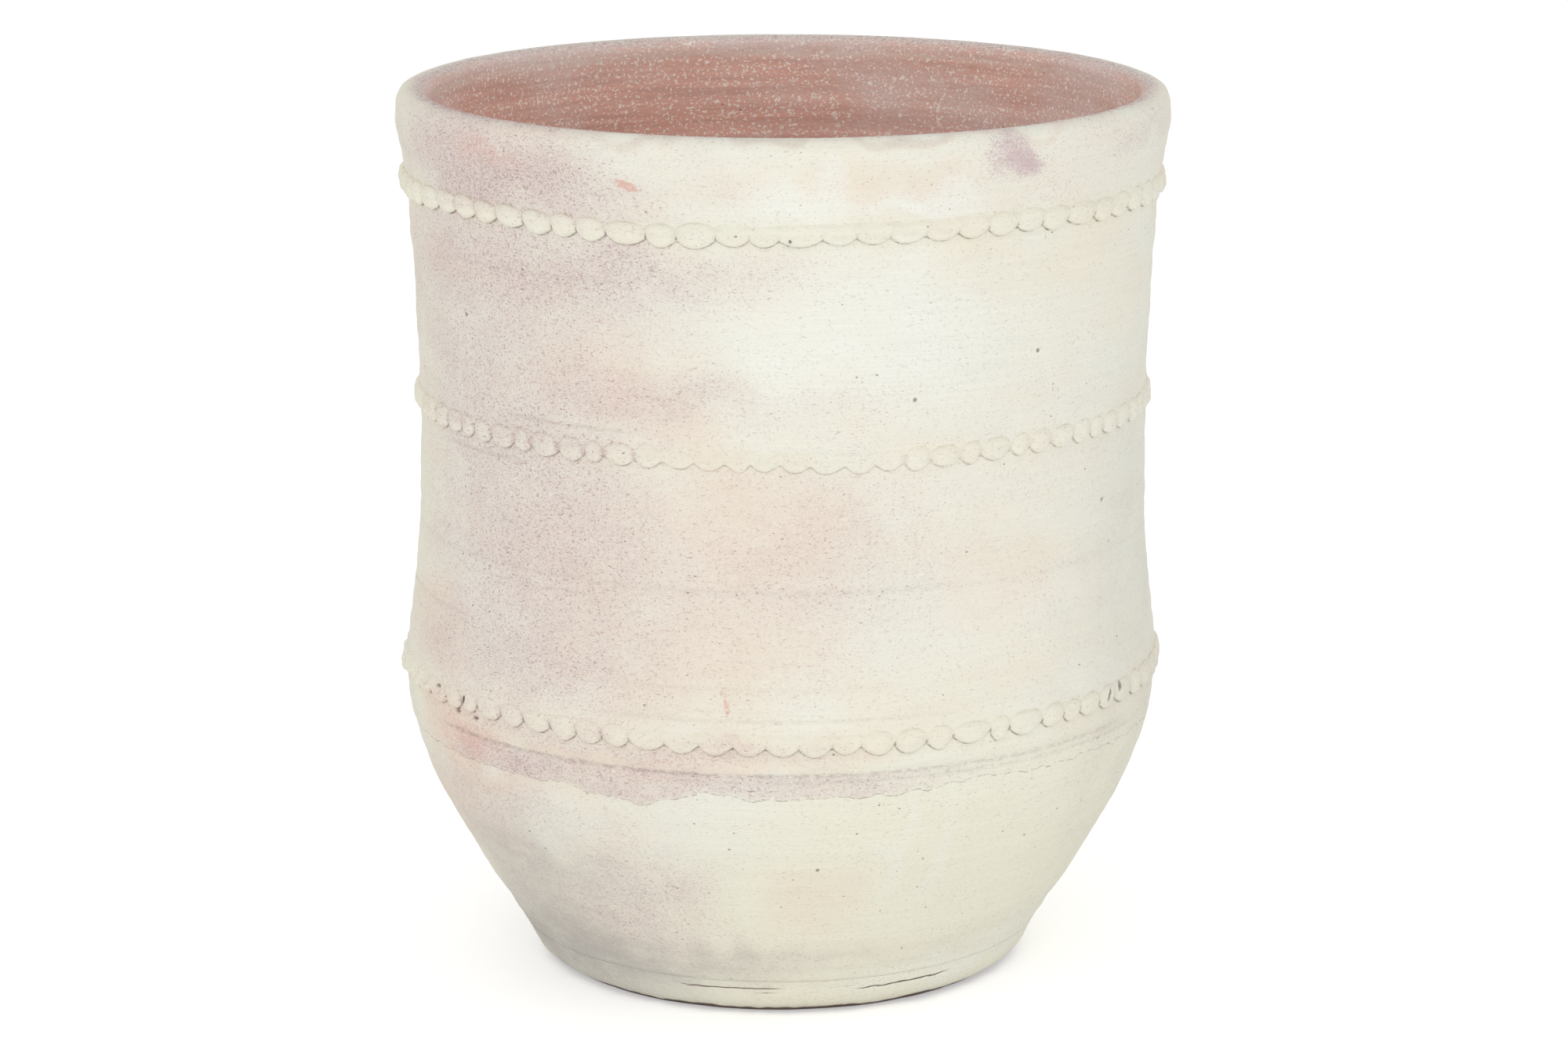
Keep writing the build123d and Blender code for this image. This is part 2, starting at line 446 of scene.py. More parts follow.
@dataclass(frozen=True)
class PotForm:
    """The pot's thrown shape: outer and inner side as smooth curves, and how the clay departs from them."""

    outside: tuple[tuple[float, float], ...] = (
        (0.0, 157.6),
        (5.0, 165.3),
        (10.5, 170.2),
        (20.0, 175.2),
        (28.0, 179.4),
        (42.0, 187.8),
        (58.0, 198.6),
        (80.0, 211.6),
        (106.0, 225.8),
        (130.0, 238.0),
        (152.0, 246.6),
        (176.0, 252.9),
        (200.0, 255.3),
        (224.0, 255.0),
        (262.0, 250.6),
        (306.0, 247.0),
        (350.0, 245.9),
        (394.0, 246.0),
        (440.0, 247.1),
        (480.0, 249.2),
        (516.0, 251.3),
        (540.0, 253.3),
        (560.0, 256.4),
        (574.0, 259.3),
        (583.0, 260.2),
        (589.0, 259.8),
    )
    inside: tuple[tuple[float, float], ...] = (
        (26.0, 152.5),
        (58.0, 176.0),
        (106.0, 205.8),
        (149.0, 228.8),
        (180.0, 236.8),
        (212.0, 238.3),
        (262.0, 234.6),
        (310.0, 230.0),
        (352.0, 228.9),
        (394.0, 229.0),
        (474.0, 231.9),
        (540.0, 236.2),
        (589.0, 237.4),
    )
    top: float = 600.0
    lip_level: float = 589.0
    gash_depth: float = 1.5
    lean: float = 2.9
    oval: Ripple = Ripple(seed=3, count=3, amplitude=0.45, shortest=420.0, longest=900.0)
    rings: Ripple = Ripple(seed=5, count=14, amplitude=0.16, shortest=9.0, longest=34.0, upright_share=0.004)
    lumps: Ripple = Ripple(seed=7, count=40, amplitude=0.20, shortest=34.0, longest=130.0)
    grain: Ripple = Ripple(seed=9, count=60, amplitude=0.045, shortest=8.0, longest=18.0, upright_share=0.5)
    finger_rings: Ripple = Ripple(13, 18, amplitude=0.5, shortest=14.0, longest=46.0, upright_share=0.004)
    inner_turn: float = 40.0
    slip_thickness: float = 0.5
    slip_bevel: float = 0.8
    slip_full: float = 194.0
    slip_gone: float = 212.0

    def clay(self, angle: Array, height: Array) -> Array:
        """Ovalness, throwing rings, lumps and grain added up, in millimetres outwards.

        Args:
            angle: angles round the pot.
            height: heights above the floor.

        Returns:
            How far the clay stands out of the smooth curve.
        """
        parts = (self.oval, self.rings, self.lumps, self.grain)
        return sum(part.at(angle, height) for part in parts)

    def outer(self, angle: Array, height: Array) -> Array:
        """Radius of the outer side: its curve and the clay, less scored lines and gashes, plus the slip.

        Args:
            angle: angles round the pot.
            height: heights above the floor.

        Returns:
            Outer radius at each point.
        """
        radius = SmoothCurve(self.outside).at(height) + self.clay(angle, height)
        for score in SCORES:
            radius = radius - score.depth * score.at(angle, height)
        radius = radius - self.gash_depth * gashes(angle, height)
        slip = smooth_step(-self.slip_bevel, self.slip_bevel, above_slip_edge(angle, height))
        return radius + self.slip_thickness * slip * smooth_step(self.slip_gone, self.slip_full, height)

    def inner(self, angle: Array, height: Array) -> Array:
        """Radius of the inner side: its curve and the rings that the potter's fingers left.

        Args:
            angle: angles round the pot.
            height: heights above the floor.

        Returns:
            Inner radius at each point.
        """
        radius = SmoothCurve(self.inside).at(height)
        return radius + self.finger_rings.at(angle, height) + self.lumps.at(angle + self.inner_turn, height)

    def place(self, angle: Array, radius: Array, height: Array) -> Array:
        """Points in metres: radius turned by the angle, then leaned to the right with height.

        Args:
            angle: angles round the pot.
            radius: distances from the axis.
            height: heights above the floor.

        Returns:
            One point for each row of the result.
        """
        turn = np.radians(angle)
        lean = self.lean * (height / self.top - 0.5)
        x = radius * np.sin(turn) + lean
        y = -radius * np.cos(turn)
        return np.stack(np.broadcast_arrays(x, y, height), axis=-1).reshape(-1, 3) * MILLIMETRE


def gashes(angle: Array, height: Array) -> Array:
    """Sum of the gashes and pits in the clay, 1 in their middles, by angle and height."""
    return np.clip(sum(gash.at(angle, height) for gash in GASHES), 0.0, 1.0)


def above_slip_edge(angle: Array, height: Array) -> Array:
    """Height above the ragged lower edge of the slip that was brushed on under the lower band."""
    edge_angle, edge_height = np.array(SLIP_EDGE).T
    edge = np.interp(turn_between(angle, 0.0), edge_angle, edge_height)
    return height - edge - SLIP_RAGS.at(angle, np.zeros_like(height))


@dataclass(frozen=True)
class Tint:
    """A colour as a painter reads it off a swatch, in steps of 0 to 255."""

    red: int
    green: int
    blue: int

    def linear(self) -> tuple[float, float, float, float]:
        """The colour as light, ((c + 0.055) / 1.055)^2.4 for each channel, with full cover."""
        share = np.array([self.red, self.green, self.blue]) / 255.0
        light = np.where(share <= 0.04045, share / 12.92, ((share + 0.055) / 1.055) ** 2.4)
        return (*light.tolist(), 1.0)


@dataclass(frozen=True)
class Grain:
    """A noise pattern: the size of its grains in millimetres, its octaves, their strength, and its offset."""

    across: float
    upright: float
    octaves: float = 3.0
    roughness: float = 0.55
    shift: float = 0.0


@dataclass(frozen=True)
class Specks:
    """Scattered specks: their spacing in millimetres, their radius as a share of it, the share of places
    that have one, the pattern's offset, and how much wider than tall they are."""

    spacing: float
    size: float
    share: float
    shift: float = 0.0
    flat: float = 1.0


class ShaderBench:
    """Lays out one material's shader nodes, with a method for each kind of step."""

    def __init__(self, name: str) -> None:
        """Makes the material with only its output.

        Args:
            name: the material's name.
        """
        self.material = bpy.data.materials.new(name)
        self.material.use_nodes = True
        self.tree = self.material.node_tree
        self.tree.nodes.clear()
        self.output = self.tree.nodes.new("ShaderNodeOutputMaterial")
        self.place = self.tree.nodes.new("ShaderNodeTexCoord").outputs["Object"]

    def join(self, source: Socket, target: Socket) -> None:
        """Wires an output to an input."""
        self.tree.links.new(source, target)

    def feed(self, target: Socket, value: Socket | float) -> None:
        """Wires a socket to an input, or sets the input to a number."""
        if isinstance(value, bpy.types.NodeSocket):
            self.join(value, target)
        else:
            target.default_value = value

    def layer(self, name: Layer) -> Socket:
        """The value of a mesh attribute."""
        node = self.tree.nodes.new("ShaderNodeAttribute")
        node.attribute_name = name.value
        return node.outputs["Fac"]

    def calc(self, rule: str, first: Socket | float, second: Socket | float = 0.0) -> Socket:
        """One step of arithmetic on two values.

        Args:
            rule: the Math node's operation.
            first: first value.
            second: second value.

        Returns:
            The result.
        """
        node = self.tree.nodes.new("ShaderNodeMath")
        node.operation = rule
        self.feed(node.inputs[0], first)
        self.feed(node.inputs[1], second)
        return node.outputs[0]

    def total(self, *parts: tuple[Socket, float]) -> Socket:
        """Sum of values, each times its weight.

        Args:
            parts: pairs of a value and its weight.

        Returns:
            The sum.
        """
        result = None
        for value, weight in parts:
            part = value if weight == 1.0 else self.calc("MULTIPLY", value, weight)
            result = part if result is None else self.calc("ADD", result, part)
        return result

    def product(self, *values: Socket) -> Socket:
        """All values multiplied together."""
        result = values[0]
        for value in values[1:]:
            result = self.calc("MULTIPLY", result, value)
        return result

    def step(
        self, value: Socket, low: float, high: float, floor: float = 0.0, ceiling: float = 1.0
    ) -> Socket:
        """Smooth step of a value from floor at low to ceiling at high.

        Args:
            value: the value.
            low: where the step starts.
            high: where it ends.
            floor: result before the step.
            ceiling: result after it.

        Returns:
            The stepped value.
        """
        node = self.tree.nodes.new("ShaderNodeMapRange")
        node.interpolation_type = "SMOOTHSTEP"
        self.join(value, node.inputs["Value"])
        for label, number in (("From Min", low), ("From Max", high), ("To Min", floor), ("To Max", ceiling)):
            node.inputs[label].default_value = number
        return node.outputs["Result"]

    def scaled(self, around: float, upright: float, shift: float = 0.0) -> Socket:
        """Object coordinates over the size of a grain, so that grains lie flat where around is the larger.

        Args:
            around: size of a grain across, in millimetres.
            upright: its height.
            shift: offset that sets one pattern apart from another.

        Returns:
            The scaled coordinates.
        """
        node = self.tree.nodes.new("ShaderNodeMapping")
        self.join(self.place, node.inputs["Vector"])
        across = 1.0 / (around * MILLIMETRE)
        node.inputs["Scale"].default_value = (across, across, 1.0 / (upright * MILLIMETRE))
        node.inputs["Location"].default_value = (shift, 0.7 * shift, 0.3 * shift)
        return node.outputs["Vector"]

    def noise(self, grain: Grain) -> Socket:
        """Noise with grains of a size, about 0.5 on average.

        Args:
            grain: the size, octaves and place of its grains.

        Returns:
            The noise value.
        """
        node = self.tree.nodes.new("ShaderNodeTexNoise")
        self.join(self.scaled(grain.across, grain.upright, grain.shift), node.inputs["Vector"])
        node.inputs["Scale"].default_value = 1.0
        node.inputs["Detail"].default_value = grain.octaves
        node.inputs["Roughness"].default_value = grain.roughness
        return node.outputs["Fac"]

    def specks(self, specks: Specks) -> Socket:
        """Round specks of uneven size, one in each chosen cell of a Voronoi pattern.

        Args:
            specks: their spacing, size, share and place.

        Returns:
            1 in a speck and 0 outside.
        """
        node = self.tree.nodes.new("ShaderNodeTexVoronoi")
        place = self.scaled(specks.spacing * specks.flat, specks.spacing, specks.shift)
        self.join(place, node.inputs["Vector"])
        node.inputs["Scale"].default_value = 1.0
        split = self.tree.nodes.new("ShaderNodeSeparateColor")
        self.join(node.outputs["Color"], split.inputs[0])
        chosen = self.calc("GREATER_THAN", split.outputs[0], 1.0 - specks.share)
        smallest, soft_edge = 0.45, 0.35
        reach = self.calc("MULTIPLY", self.step(split.outputs[1], 0.0, 1.0, smallest, 1.0), specks.size)
        depth = self.calc("SUBTRACT", reach, node.outputs["Distance"])
        inside = self.step(depth, 0.0, soft_edge * specks.size)
        return self.calc("MULTIPLY", chosen, inside)

    def blend(self, share: Socket | float, first: Socket | Tint, second: Socket | Tint) -> Socket:
        """Mix of two colours.

        Args:
            share: how much of the second colour.
            first: first colour.
            second: second colour.

        Returns:
            The mixed colour.
        """
        node = self.tree.nodes.new("ShaderNodeMix")
        node.data_type = "RGBA"
        self.feed(node.inputs[0], share)
        for target, colour in ((node.inputs[6], first), (node.inputs[7], second)):
            if isinstance(colour, Tint):
                target.default_value = colour.linear()
            else:
                self.join(colour, target)
        return node.outputs[2]

    def dim(self, colour: Socket, factor: Socket) -> Socket:
        """A colour multiplied by a brightness value."""
        node = self.tree.nodes.new("ShaderNodeVectorMath")
        node.operation = "SCALE"
        self.join(colour, node.inputs[0])
        self.join(factor, node.inputs["Scale"])
        return node.outputs[0]


@dataclass(frozen=True)
class Wash:
    """A watery layer of colour, for stains and for the painted grey shade: its layer, its colour and how much
    of it shows at most.
    """

    layer: Layer
    tint: Tint
    most: float


@dataclass(frozen=True)
class Grit:
    """A gritty stain: grains of its colour show where the layer, times its weight, lifts a noise past low."""

    layer: Layer
    tint: Tint
    weight: float
    low: float
    high: float
    most: float
    coarse: bool = False


LIME_CLOUDS = Grain(90.0, 60.0, 3.0, 0.5)
BRUSH_STREAKS = Grain(60.0, 1.6, 4.0, 0.6, 3.0)
FINE_GRAINS = Grain(1.7, 1.0, 3.0, 0.7, 5.0)
GRIT_GRAINS = Grain(7.0, 3.0, 4.0, 0.7, 7.0)
SOFT_PATCHES = Grain(40.0, 24.0, 3.0, 0.5, 9.0)
COARSE_GRAINS = Grain(3.2, 1.5, 3.0, 0.7, 61.0)
RUBBED_GRAINS = Grain(2.6, 1.4, 3.0, 0.7, 43.0)
POWDER_GRAINS = Grain(2.2, 1.3, 3.0, 0.7, 53.0)
INNER_STREAKS = Grain(110.0, 5.0, 5.0, 0.65, 13.0)
INNER_CLOUDS = Grain(120.0, 60.0, 3.0, 0.5, 15.0)
INNER_GRAINS = Grain(3.0, 1.6, 3.0, 0.7, 17.0)
INNER_CRUMBS = Grain(2.3, 1.9, 2.0, 0.6, 23.0)
MARK_GRAINS = Grain(5.0, 2.0, 3.0, 0.7, 29.0)
LIP_RAGS = Grain(14.0, 4.0)
RUBBED_SHINE = Grain(6.0, 2.5)
RELIEF_GRAINS = Grain(1.6, 0.9, 3.0, 0.7, 37.0)
RELIEF_STREAKS = Grain(24.0, 1.4, 3.0, 0.6, 41.0)
LIME_CHIPS = Specks(8.0, 0.24, 0.5, 19.0)
PORES = Specks(9.0, 0.09, 0.55, 31.0, 1.5)
PITS = Specks(46.0, 0.04, 0.5, 47.0)
CHALK_TINT = Tint(241, 242, 234)
LILAC_TINT = Tint(205, 186, 183)
DEEP_LILAC_TINT = Tint(170, 140, 138)
WASHES = (
    Wash(Layer.STRAW, Tint(238, 235, 217), 0.9),
    Wash(Layer.CHALK, CHALK_TINT, 0.9),
    Wash(Layer.PEACH, Tint(235, 215, 196), 0.72),
    Wash(Layer.LILAC, Tint(218, 202, 198), 0.62),
)
GRITS = (
    Grit(Layer.LILAC, LILAC_TINT, 0.24, 0.56, 0.90, 0.85),
    Grit(Layer.LILAC, DEEP_LILAC_TINT, 0.12, 0.60, 0.71, 0.75, coarse=True),
    Grit(Layer.ROSE, Tint(221, 176, 164), 0.42, 0.58, 0.94, 0.85),
    Grit(Layer.PURPLE, Tint(203, 180, 183), 0.50, 0.66, 1.02, 0.9),
)
# The painted grey shade, washed on after the grits.
GREY_SHADE_WASH = Wash(Layer.GREY_SHADE, Tint(192, 187, 180), 0.95)


@dataclass(frozen=True)
class ClayFinish:
    """Weathered clay: a lime bloom over stained clay outside, and red clay with lime specks inside."""

    name: str
    lime: Tint = Tint(236, 235, 222)
    warm_lime: Tint = Tint(237, 231, 214)
    dark_marks_and_shade: Tint = Tint(112, 94, 88)
    pepper: Tint = Tint(186, 160, 148)
    red_clay: Tint = Tint(214, 172, 158)
    bright_clay: Tint = Tint(238, 191, 173)
    dusty_clay: Tint = Tint(230, 212, 206)
    crumb: Tint = Tint(255, 248, 240)
    grain_depth: float = 0.22
    bump_strength: float = 0.8
    shine: float = 0.18

    def washed(self, bench: ShaderBench, wash: Wash, soft: Socket, colour: Socket) -> Socket:
        """Lays a watery layer over a colour: its layer times 1 plus the soft noise, stepped to its most.

        Args:
            bench: where the nodes are laid out.
            wash: the watery layer.
            soft: soft noise about 0, which makes its cover uneven.
            colour: the colour below.

        Returns:
            The stained colour.
        """
        cover = bench.calc("MULTIPLY", bench.layer(wash.layer), bench.calc("ADD", soft, 1.0))
        return bench.blend(bench.step(cover, 0.0, 1.0, 0.0, wash.most), colour, wash.tint)

    def gritted(self, bench: ShaderBench, grit: Grit, grain: Socket, colour: Socket) -> Socket:
        """Lays the grains of a gritty stain over a colour: its layer times its weight plus a noise, stepped.

        Args:
            bench: where the nodes are laid out.
            grit: the stain.
            grain: the noise of its grains.
            colour: the colour below.

        Returns:
            The stained colour.
        """
        shown = bench.total((bench.layer(grit.layer), grit.weight), (grain, 1.0))
        return bench.blend(bench.step(shown, grit.low, grit.high, 0.0, grit.most), colour, grit.tint)

    def outer_colour(self, bench: ShaderBench) -> Socket:
        """Lime, then each stain laid over it, watery ones as a wash and gritty ones as grains, then the
        painted grey shade as a wash over them.

        Args:
            bench: where the nodes are laid out.

        Returns:
            The colour of the outer side.
        """
        cloud = bench.noise(LIME_CLOUDS)
        streak = bench.noise(BRUSH_STREAKS)
        fine = bench.noise(FINE_GRAINS)
        gritty = bench.noise(GRIT_GRAINS)
        soft = bench.total((streak, 0.5), (gritty, 0.7), (bench.noise(SOFT_PATCHES), 0.8))
        soft = bench.calc("SUBTRACT", soft, 1.0)
        grain = bench.total((fine, 0.85), (gritty, 0.15), (soft, 0.12))
        coarse_grain = bench.total((fine, 0.5), (bench.noise(COARSE_GRAINS), 0.5))
        colour = bench.blend(bench.step(cloud, 0.40, 0.66, 0.0, 0.8), self.lime, self.warm_lime)
        for wash in WASHES:
            colour = self.washed(bench, wash, soft, colour)
        for grit in GRITS:
            colour = self.gritted(bench, grit, coarse_grain if grit.coarse else grain, colour)
        colour = self.washed(bench, GREY_SHADE_WASH, soft, colour)
        rubbed = bench.total((bench.noise(RUBBED_GRAINS), 1.0), (soft, 0.12))
        colour = bench.blend(bench.step(rubbed, 0.56, 0.74, 0.0, 0.5), colour, self.pepper)
        powder = bench.step(bench.noise(POWDER_GRAINS), 0.56, 0.72, 0.0, 0.6)
        colour = bench.blend(powder, colour, CHALK_TINT)
        return bench.dim(colour, bench.step(streak, 0.2, 0.8, 0.97, 1.025))

    def inner_colour(self, bench: ShaderBench) -> Socket:
        """Red clay in streaks, dusted with lilac lime, with white specks and crumbs of lime.

        Args:
            bench: where the nodes are laid out.

        Returns:
            The colour of the inner side.
        """
        streak = bench.noise(INNER_STREAKS)
        cloud = bench.noise(INNER_CLOUDS)
        fine = bench.noise(INNER_GRAINS)
        colour = bench.blend(bench.step(streak, 0.30, 0.68), self.red_clay, self.bright_clay)
        dust = bench.total((cloud, 1.0), (fine, 0.5))
        colour = bench.blend(bench.step(dust, 0.62, 0.94, 0.0, 0.85), colour, self.dusty_clay)
        colour = bench.blend(bench.step(fine, 0.54, 0.72, 0.0, 0.6), colour, self.dusty_clay)
        chips = bench.product(bench.step(cloud, 0.35, 0.6, 0.35, 0.9), bench.specks(LIME_CHIPS))
        colour = bench.blend(chips, colour, self.crumb)
        crumbs = bench.total((bench.noise(INNER_CRUMBS), 1.0), (streak, 0.3))
        return bench.blend(bench.step(crumbs, 0.71, 0.80, 0.0, 0.95), colour, self.crumb)

    def marks(self, bench: ShaderBench, colour: Socket) -> Socket:
        """Dark pores and pits, painted shade with some dirt in a strip under each band's edge, the slip's
        edge, scored lines, and the dark layer of painted shade and dark marks, over a colour.

        Args:
            bench: where the nodes are laid out.
            colour: the colour below.

        Returns:
            The marked colour.
        """
        grit = bench.noise(MARK_GRAINS)
        pores = bench.calc("MULTIPLY", bench.specks(PORES), 0.6)
        pits = bench.calc("MULTIPLY", bench.specks(PITS), 0.7)
        # Painted shade, with some dirt, in a strip just under each band's lower edge, where the lip overhangs
        # the wall.
        below = bench.layer(Layer.BAND)
        close = bench.product(bench.step(below, -0.5, -0.1), bench.step(below, 1.6, 0.2))
        seam = bench.product(close, bench.step(grit, 0.35, 0.62, 0.1, 0.9), bench.layer(Layer.SEAM))
        slip = bench.calc("ABSOLUTE", bench.layer(Layer.SLIP))
        edge = bench.product(bench.step(slip, 0.8, 0.2), bench.step(grit, 0.40, 0.62, 0.0, 0.45))
        line = bench.product(bench.layer(Layer.STREAK), bench.step(grit, 0.35, 0.62, 0.05, 0.7))
        # The dark layer: painted shade on the bands, and the dark gashes, cracks and bottom edge of the slab.
        dark = bench.step(bench.total((bench.layer(Layer.DARK), 1.0), (grit, 0.3)), 0.3, 1.1)
        for share in (pores, pits, seam, edge, line, dark):
            colour = bench.blend(share, colour, self.dark_marks_and_shade)
        return colour

    def make(self) -> bpy.types.Material:
        """The material: colours by layer, matt, with the grain and the pores as relief.

        Returns:
            The finished material.
        """
        bench = ShaderBench(self.name)
        ragged = bench.total((bench.layer(Layer.INSIDE), 1.0), (bench.noise(LIP_RAGS), 0.35))
        inside = bench.step(ragged, 0.45, 0.95)
        colour = bench.blend(inside, self.outer_colour(bench), self.inner_colour(bench))
        colour = self.marks(bench, colour)
        surface = bench.tree.nodes.new("ShaderNodeBsdfPrincipled")
        bench.join(colour, surface.inputs["Base Color"])
        bench.join(bench.step(bench.noise(RUBBED_SHINE), 0.3, 0.7, 0.86, 0.97), surface.inputs["Roughness"])
        surface.inputs["Specular IOR Level"].default_value = self.shine
        raised = bench.total((bench.noise(RELIEF_GRAINS), 0.6), (bench.noise(RELIEF_STREAKS), 0.5))
        relief = bench.calc("SUBTRACT", raised, bench.specks(PORES))
        bump = bench.tree.nodes.new("ShaderNodeBump")
        bump.inputs["Distance"].default_value = self.grain_depth * MILLIMETRE
        bump.inputs["Strength"].default_value = self.bump_strength
        bench.join(relief, bump.inputs["Height"])
        bench.join(bump.outputs[0], surface.inputs["Normal"])
        bench.join(surface.outputs[0], bench.output.inputs["Surface"])
        return bench.material


@dataclass
class RingGrid:
    """A closed tube of quads that runs round the axis: columns by angle, rows round its section."""

    angle: Array
    radius: Array
    height: Array
    layers: dict[Layer, Array] = field(default_factory=dict)
    flat_rows: tuple[int, ...] = ()

    def build(self, name: str, form: PotForm, finish: bpy.types.Material) -> bpy.types.Object:
        """Object whose vertex (row, column) is joined to the next row and the next column, both closed.

        Args:
            name: the object's name.
            form: the pot's form, which places the points.
            finish: its material.

        Returns:
            The object, at the origin.
        """
        rows, columns = self.radius.shape
        points = form.place(np.broadcast_to(self.angle, self.radius.shape), self.radius, self.height)
        index = np.arange(rows * columns).reshape(rows, columns)
        right = np.roll(index, -1, axis=1)
        above = np.roll(index, -1, axis=0)
        above_right = np.roll(above, -1, axis=1)
        quads = np.stack([index, right, above_right, above], axis=-1).reshape(-1, 4)
        mesh = bpy.data.meshes.new(name)
        mesh.vertices.add(len(points))
        mesh.vertices.foreach_set("co", points.ravel())
        mesh.loops.add(quads.size)
        mesh.loops.foreach_set("vertex_index", quads.ravel())
        mesh.polygons.add(len(quads))
        mesh.polygons.foreach_set("loop_start", np.arange(0, quads.size, 4))
        mesh.update(calc_edges=True)
        flat = np.zeros((rows, columns), bool)
        flat[list(self.flat_rows)] = True
        sharp = mesh.attributes.new("sharp_face", "BOOLEAN", "FACE")
        sharp.data.foreach_set("value", flat.ravel())
        for layer in Layer:
            empty = np.full((rows, columns), OUT_OF_REACH if layer in DISTANCES else 0.0)
            values = np.broadcast_to(self.layers.get(layer, empty), (rows, columns))
            attribute = mesh.attributes.new(layer.value, "FLOAT", "POINT")
            attribute.data.foreach_set("value", values.astype(np.float32).ravel())
        mesh.materials.append(finish)
        thing = bpy.data.objects.new(name, mesh)
        bpy.context.collection.objects.link(thing)
        return thing


def stacked(blocks: tuple[tuple[Array, Array, float], ...]) -> tuple[Array, Array, Array]:
    """Blocks of rows set one after the other round a section.

    Args:
        blocks: radius, height, and 1 for an inner or 0 for an outer side, of each block.

    Returns:
        Radius, height and inner side of all rows.
    """
    radius = np.concatenate([block for block, _, _ in blocks])
    height = np.concatenate([np.broadcast_to(level, block.shape) for block, level, _ in blocks])
    inside = np.concatenate([np.full(block.shape, value) for block, _, value in blocks])
    return radius, height, inside


@dataclass(frozen=True)
class SpeckledStrip:
    """The strip between the slip's edge and the lower band, where lilac clay speckles the lime."""

    top: float = 193.0
    top_faded: float = 189.0
    everywhere: float = 0.12
    front: float = 0.46
    back: float = 0.5

    def at(self, angle: Array, height: Array) -> Array:
        """Lilac that the strip adds: most from the left of the front to its middle, and at the back.

        Args:
            angle: angles round the pot.
            height: heights above the floor.

        Returns:
            The strength to add to the lilac layer.
        """
        strip = smooth_step(-0.5, 1.5, above_slip_edge(angle, height))
        strip = strip * smooth_step(self.top, self.top_faded, height)
        turn = turn_between(angle, 0.0)
        speckled = self.front * smooth_step(-64.0, -50.0, turn) * smooth_step(38.0, 6.0, turn)
        speckled = speckled + self.back * smooth_step(90.0, 130.0, np.abs(turn))
        return strip * (self.everywhere + speckled)


def wall_layers(angle: Array, height: Array, inside: Array) -> dict[Layer, Array]:
    """All layers of the wall: its stains, painted shade and painted light, the speckled strip, the slip's
    edge, scored lines and gashes.

    Args:
        angle: angles round the pot.
        height: heights above the floor.
        inside: 1 on the inner side and 0 outside.

    Returns:
        The value of each layer at each point.
    """
    layers = {name: LAYER_PATCHES.layer(name, angle, height) for name in PATCHED_LAYERS}
    layers[Layer.LILAC] = np.clip(layers[Layer.LILAC] + SpeckledStrip().at(angle, height), 0.0, 1.0)
    layers[Layer.SLIP] = np.where(inside > 0.5, OUT_OF_REACH, above_slip_edge(angle, height))
    streak = np.zeros_like(layers[Layer.LILAC])
    for score in SCORES:
        streak = np.maximum(streak, score.darkness * score.at(angle, height))
    layers[Layer.STREAK] = streak
    layers[Layer.DARK] = gashes(angle, height) * (inside < 0.5)
    layers[Layer.INSIDE] = inside
    return layers


@dataclass(frozen=True)
class PlumpRun:
    """A run of prints that the thumb left rounded instead of scooping them out."""

    start: float
    end: float
    share: float

    def at(self, angle: Array) -> Array:
        """The run's share within its ends, fading over 6 degrees beyond them."""
        middle = 0.5 * (self.start + self.end)
        half = 0.5 * (self.end - self.start)
        return self.share * smooth_step(half + 6.0, half, np.abs(turn_between(angle, middle)))


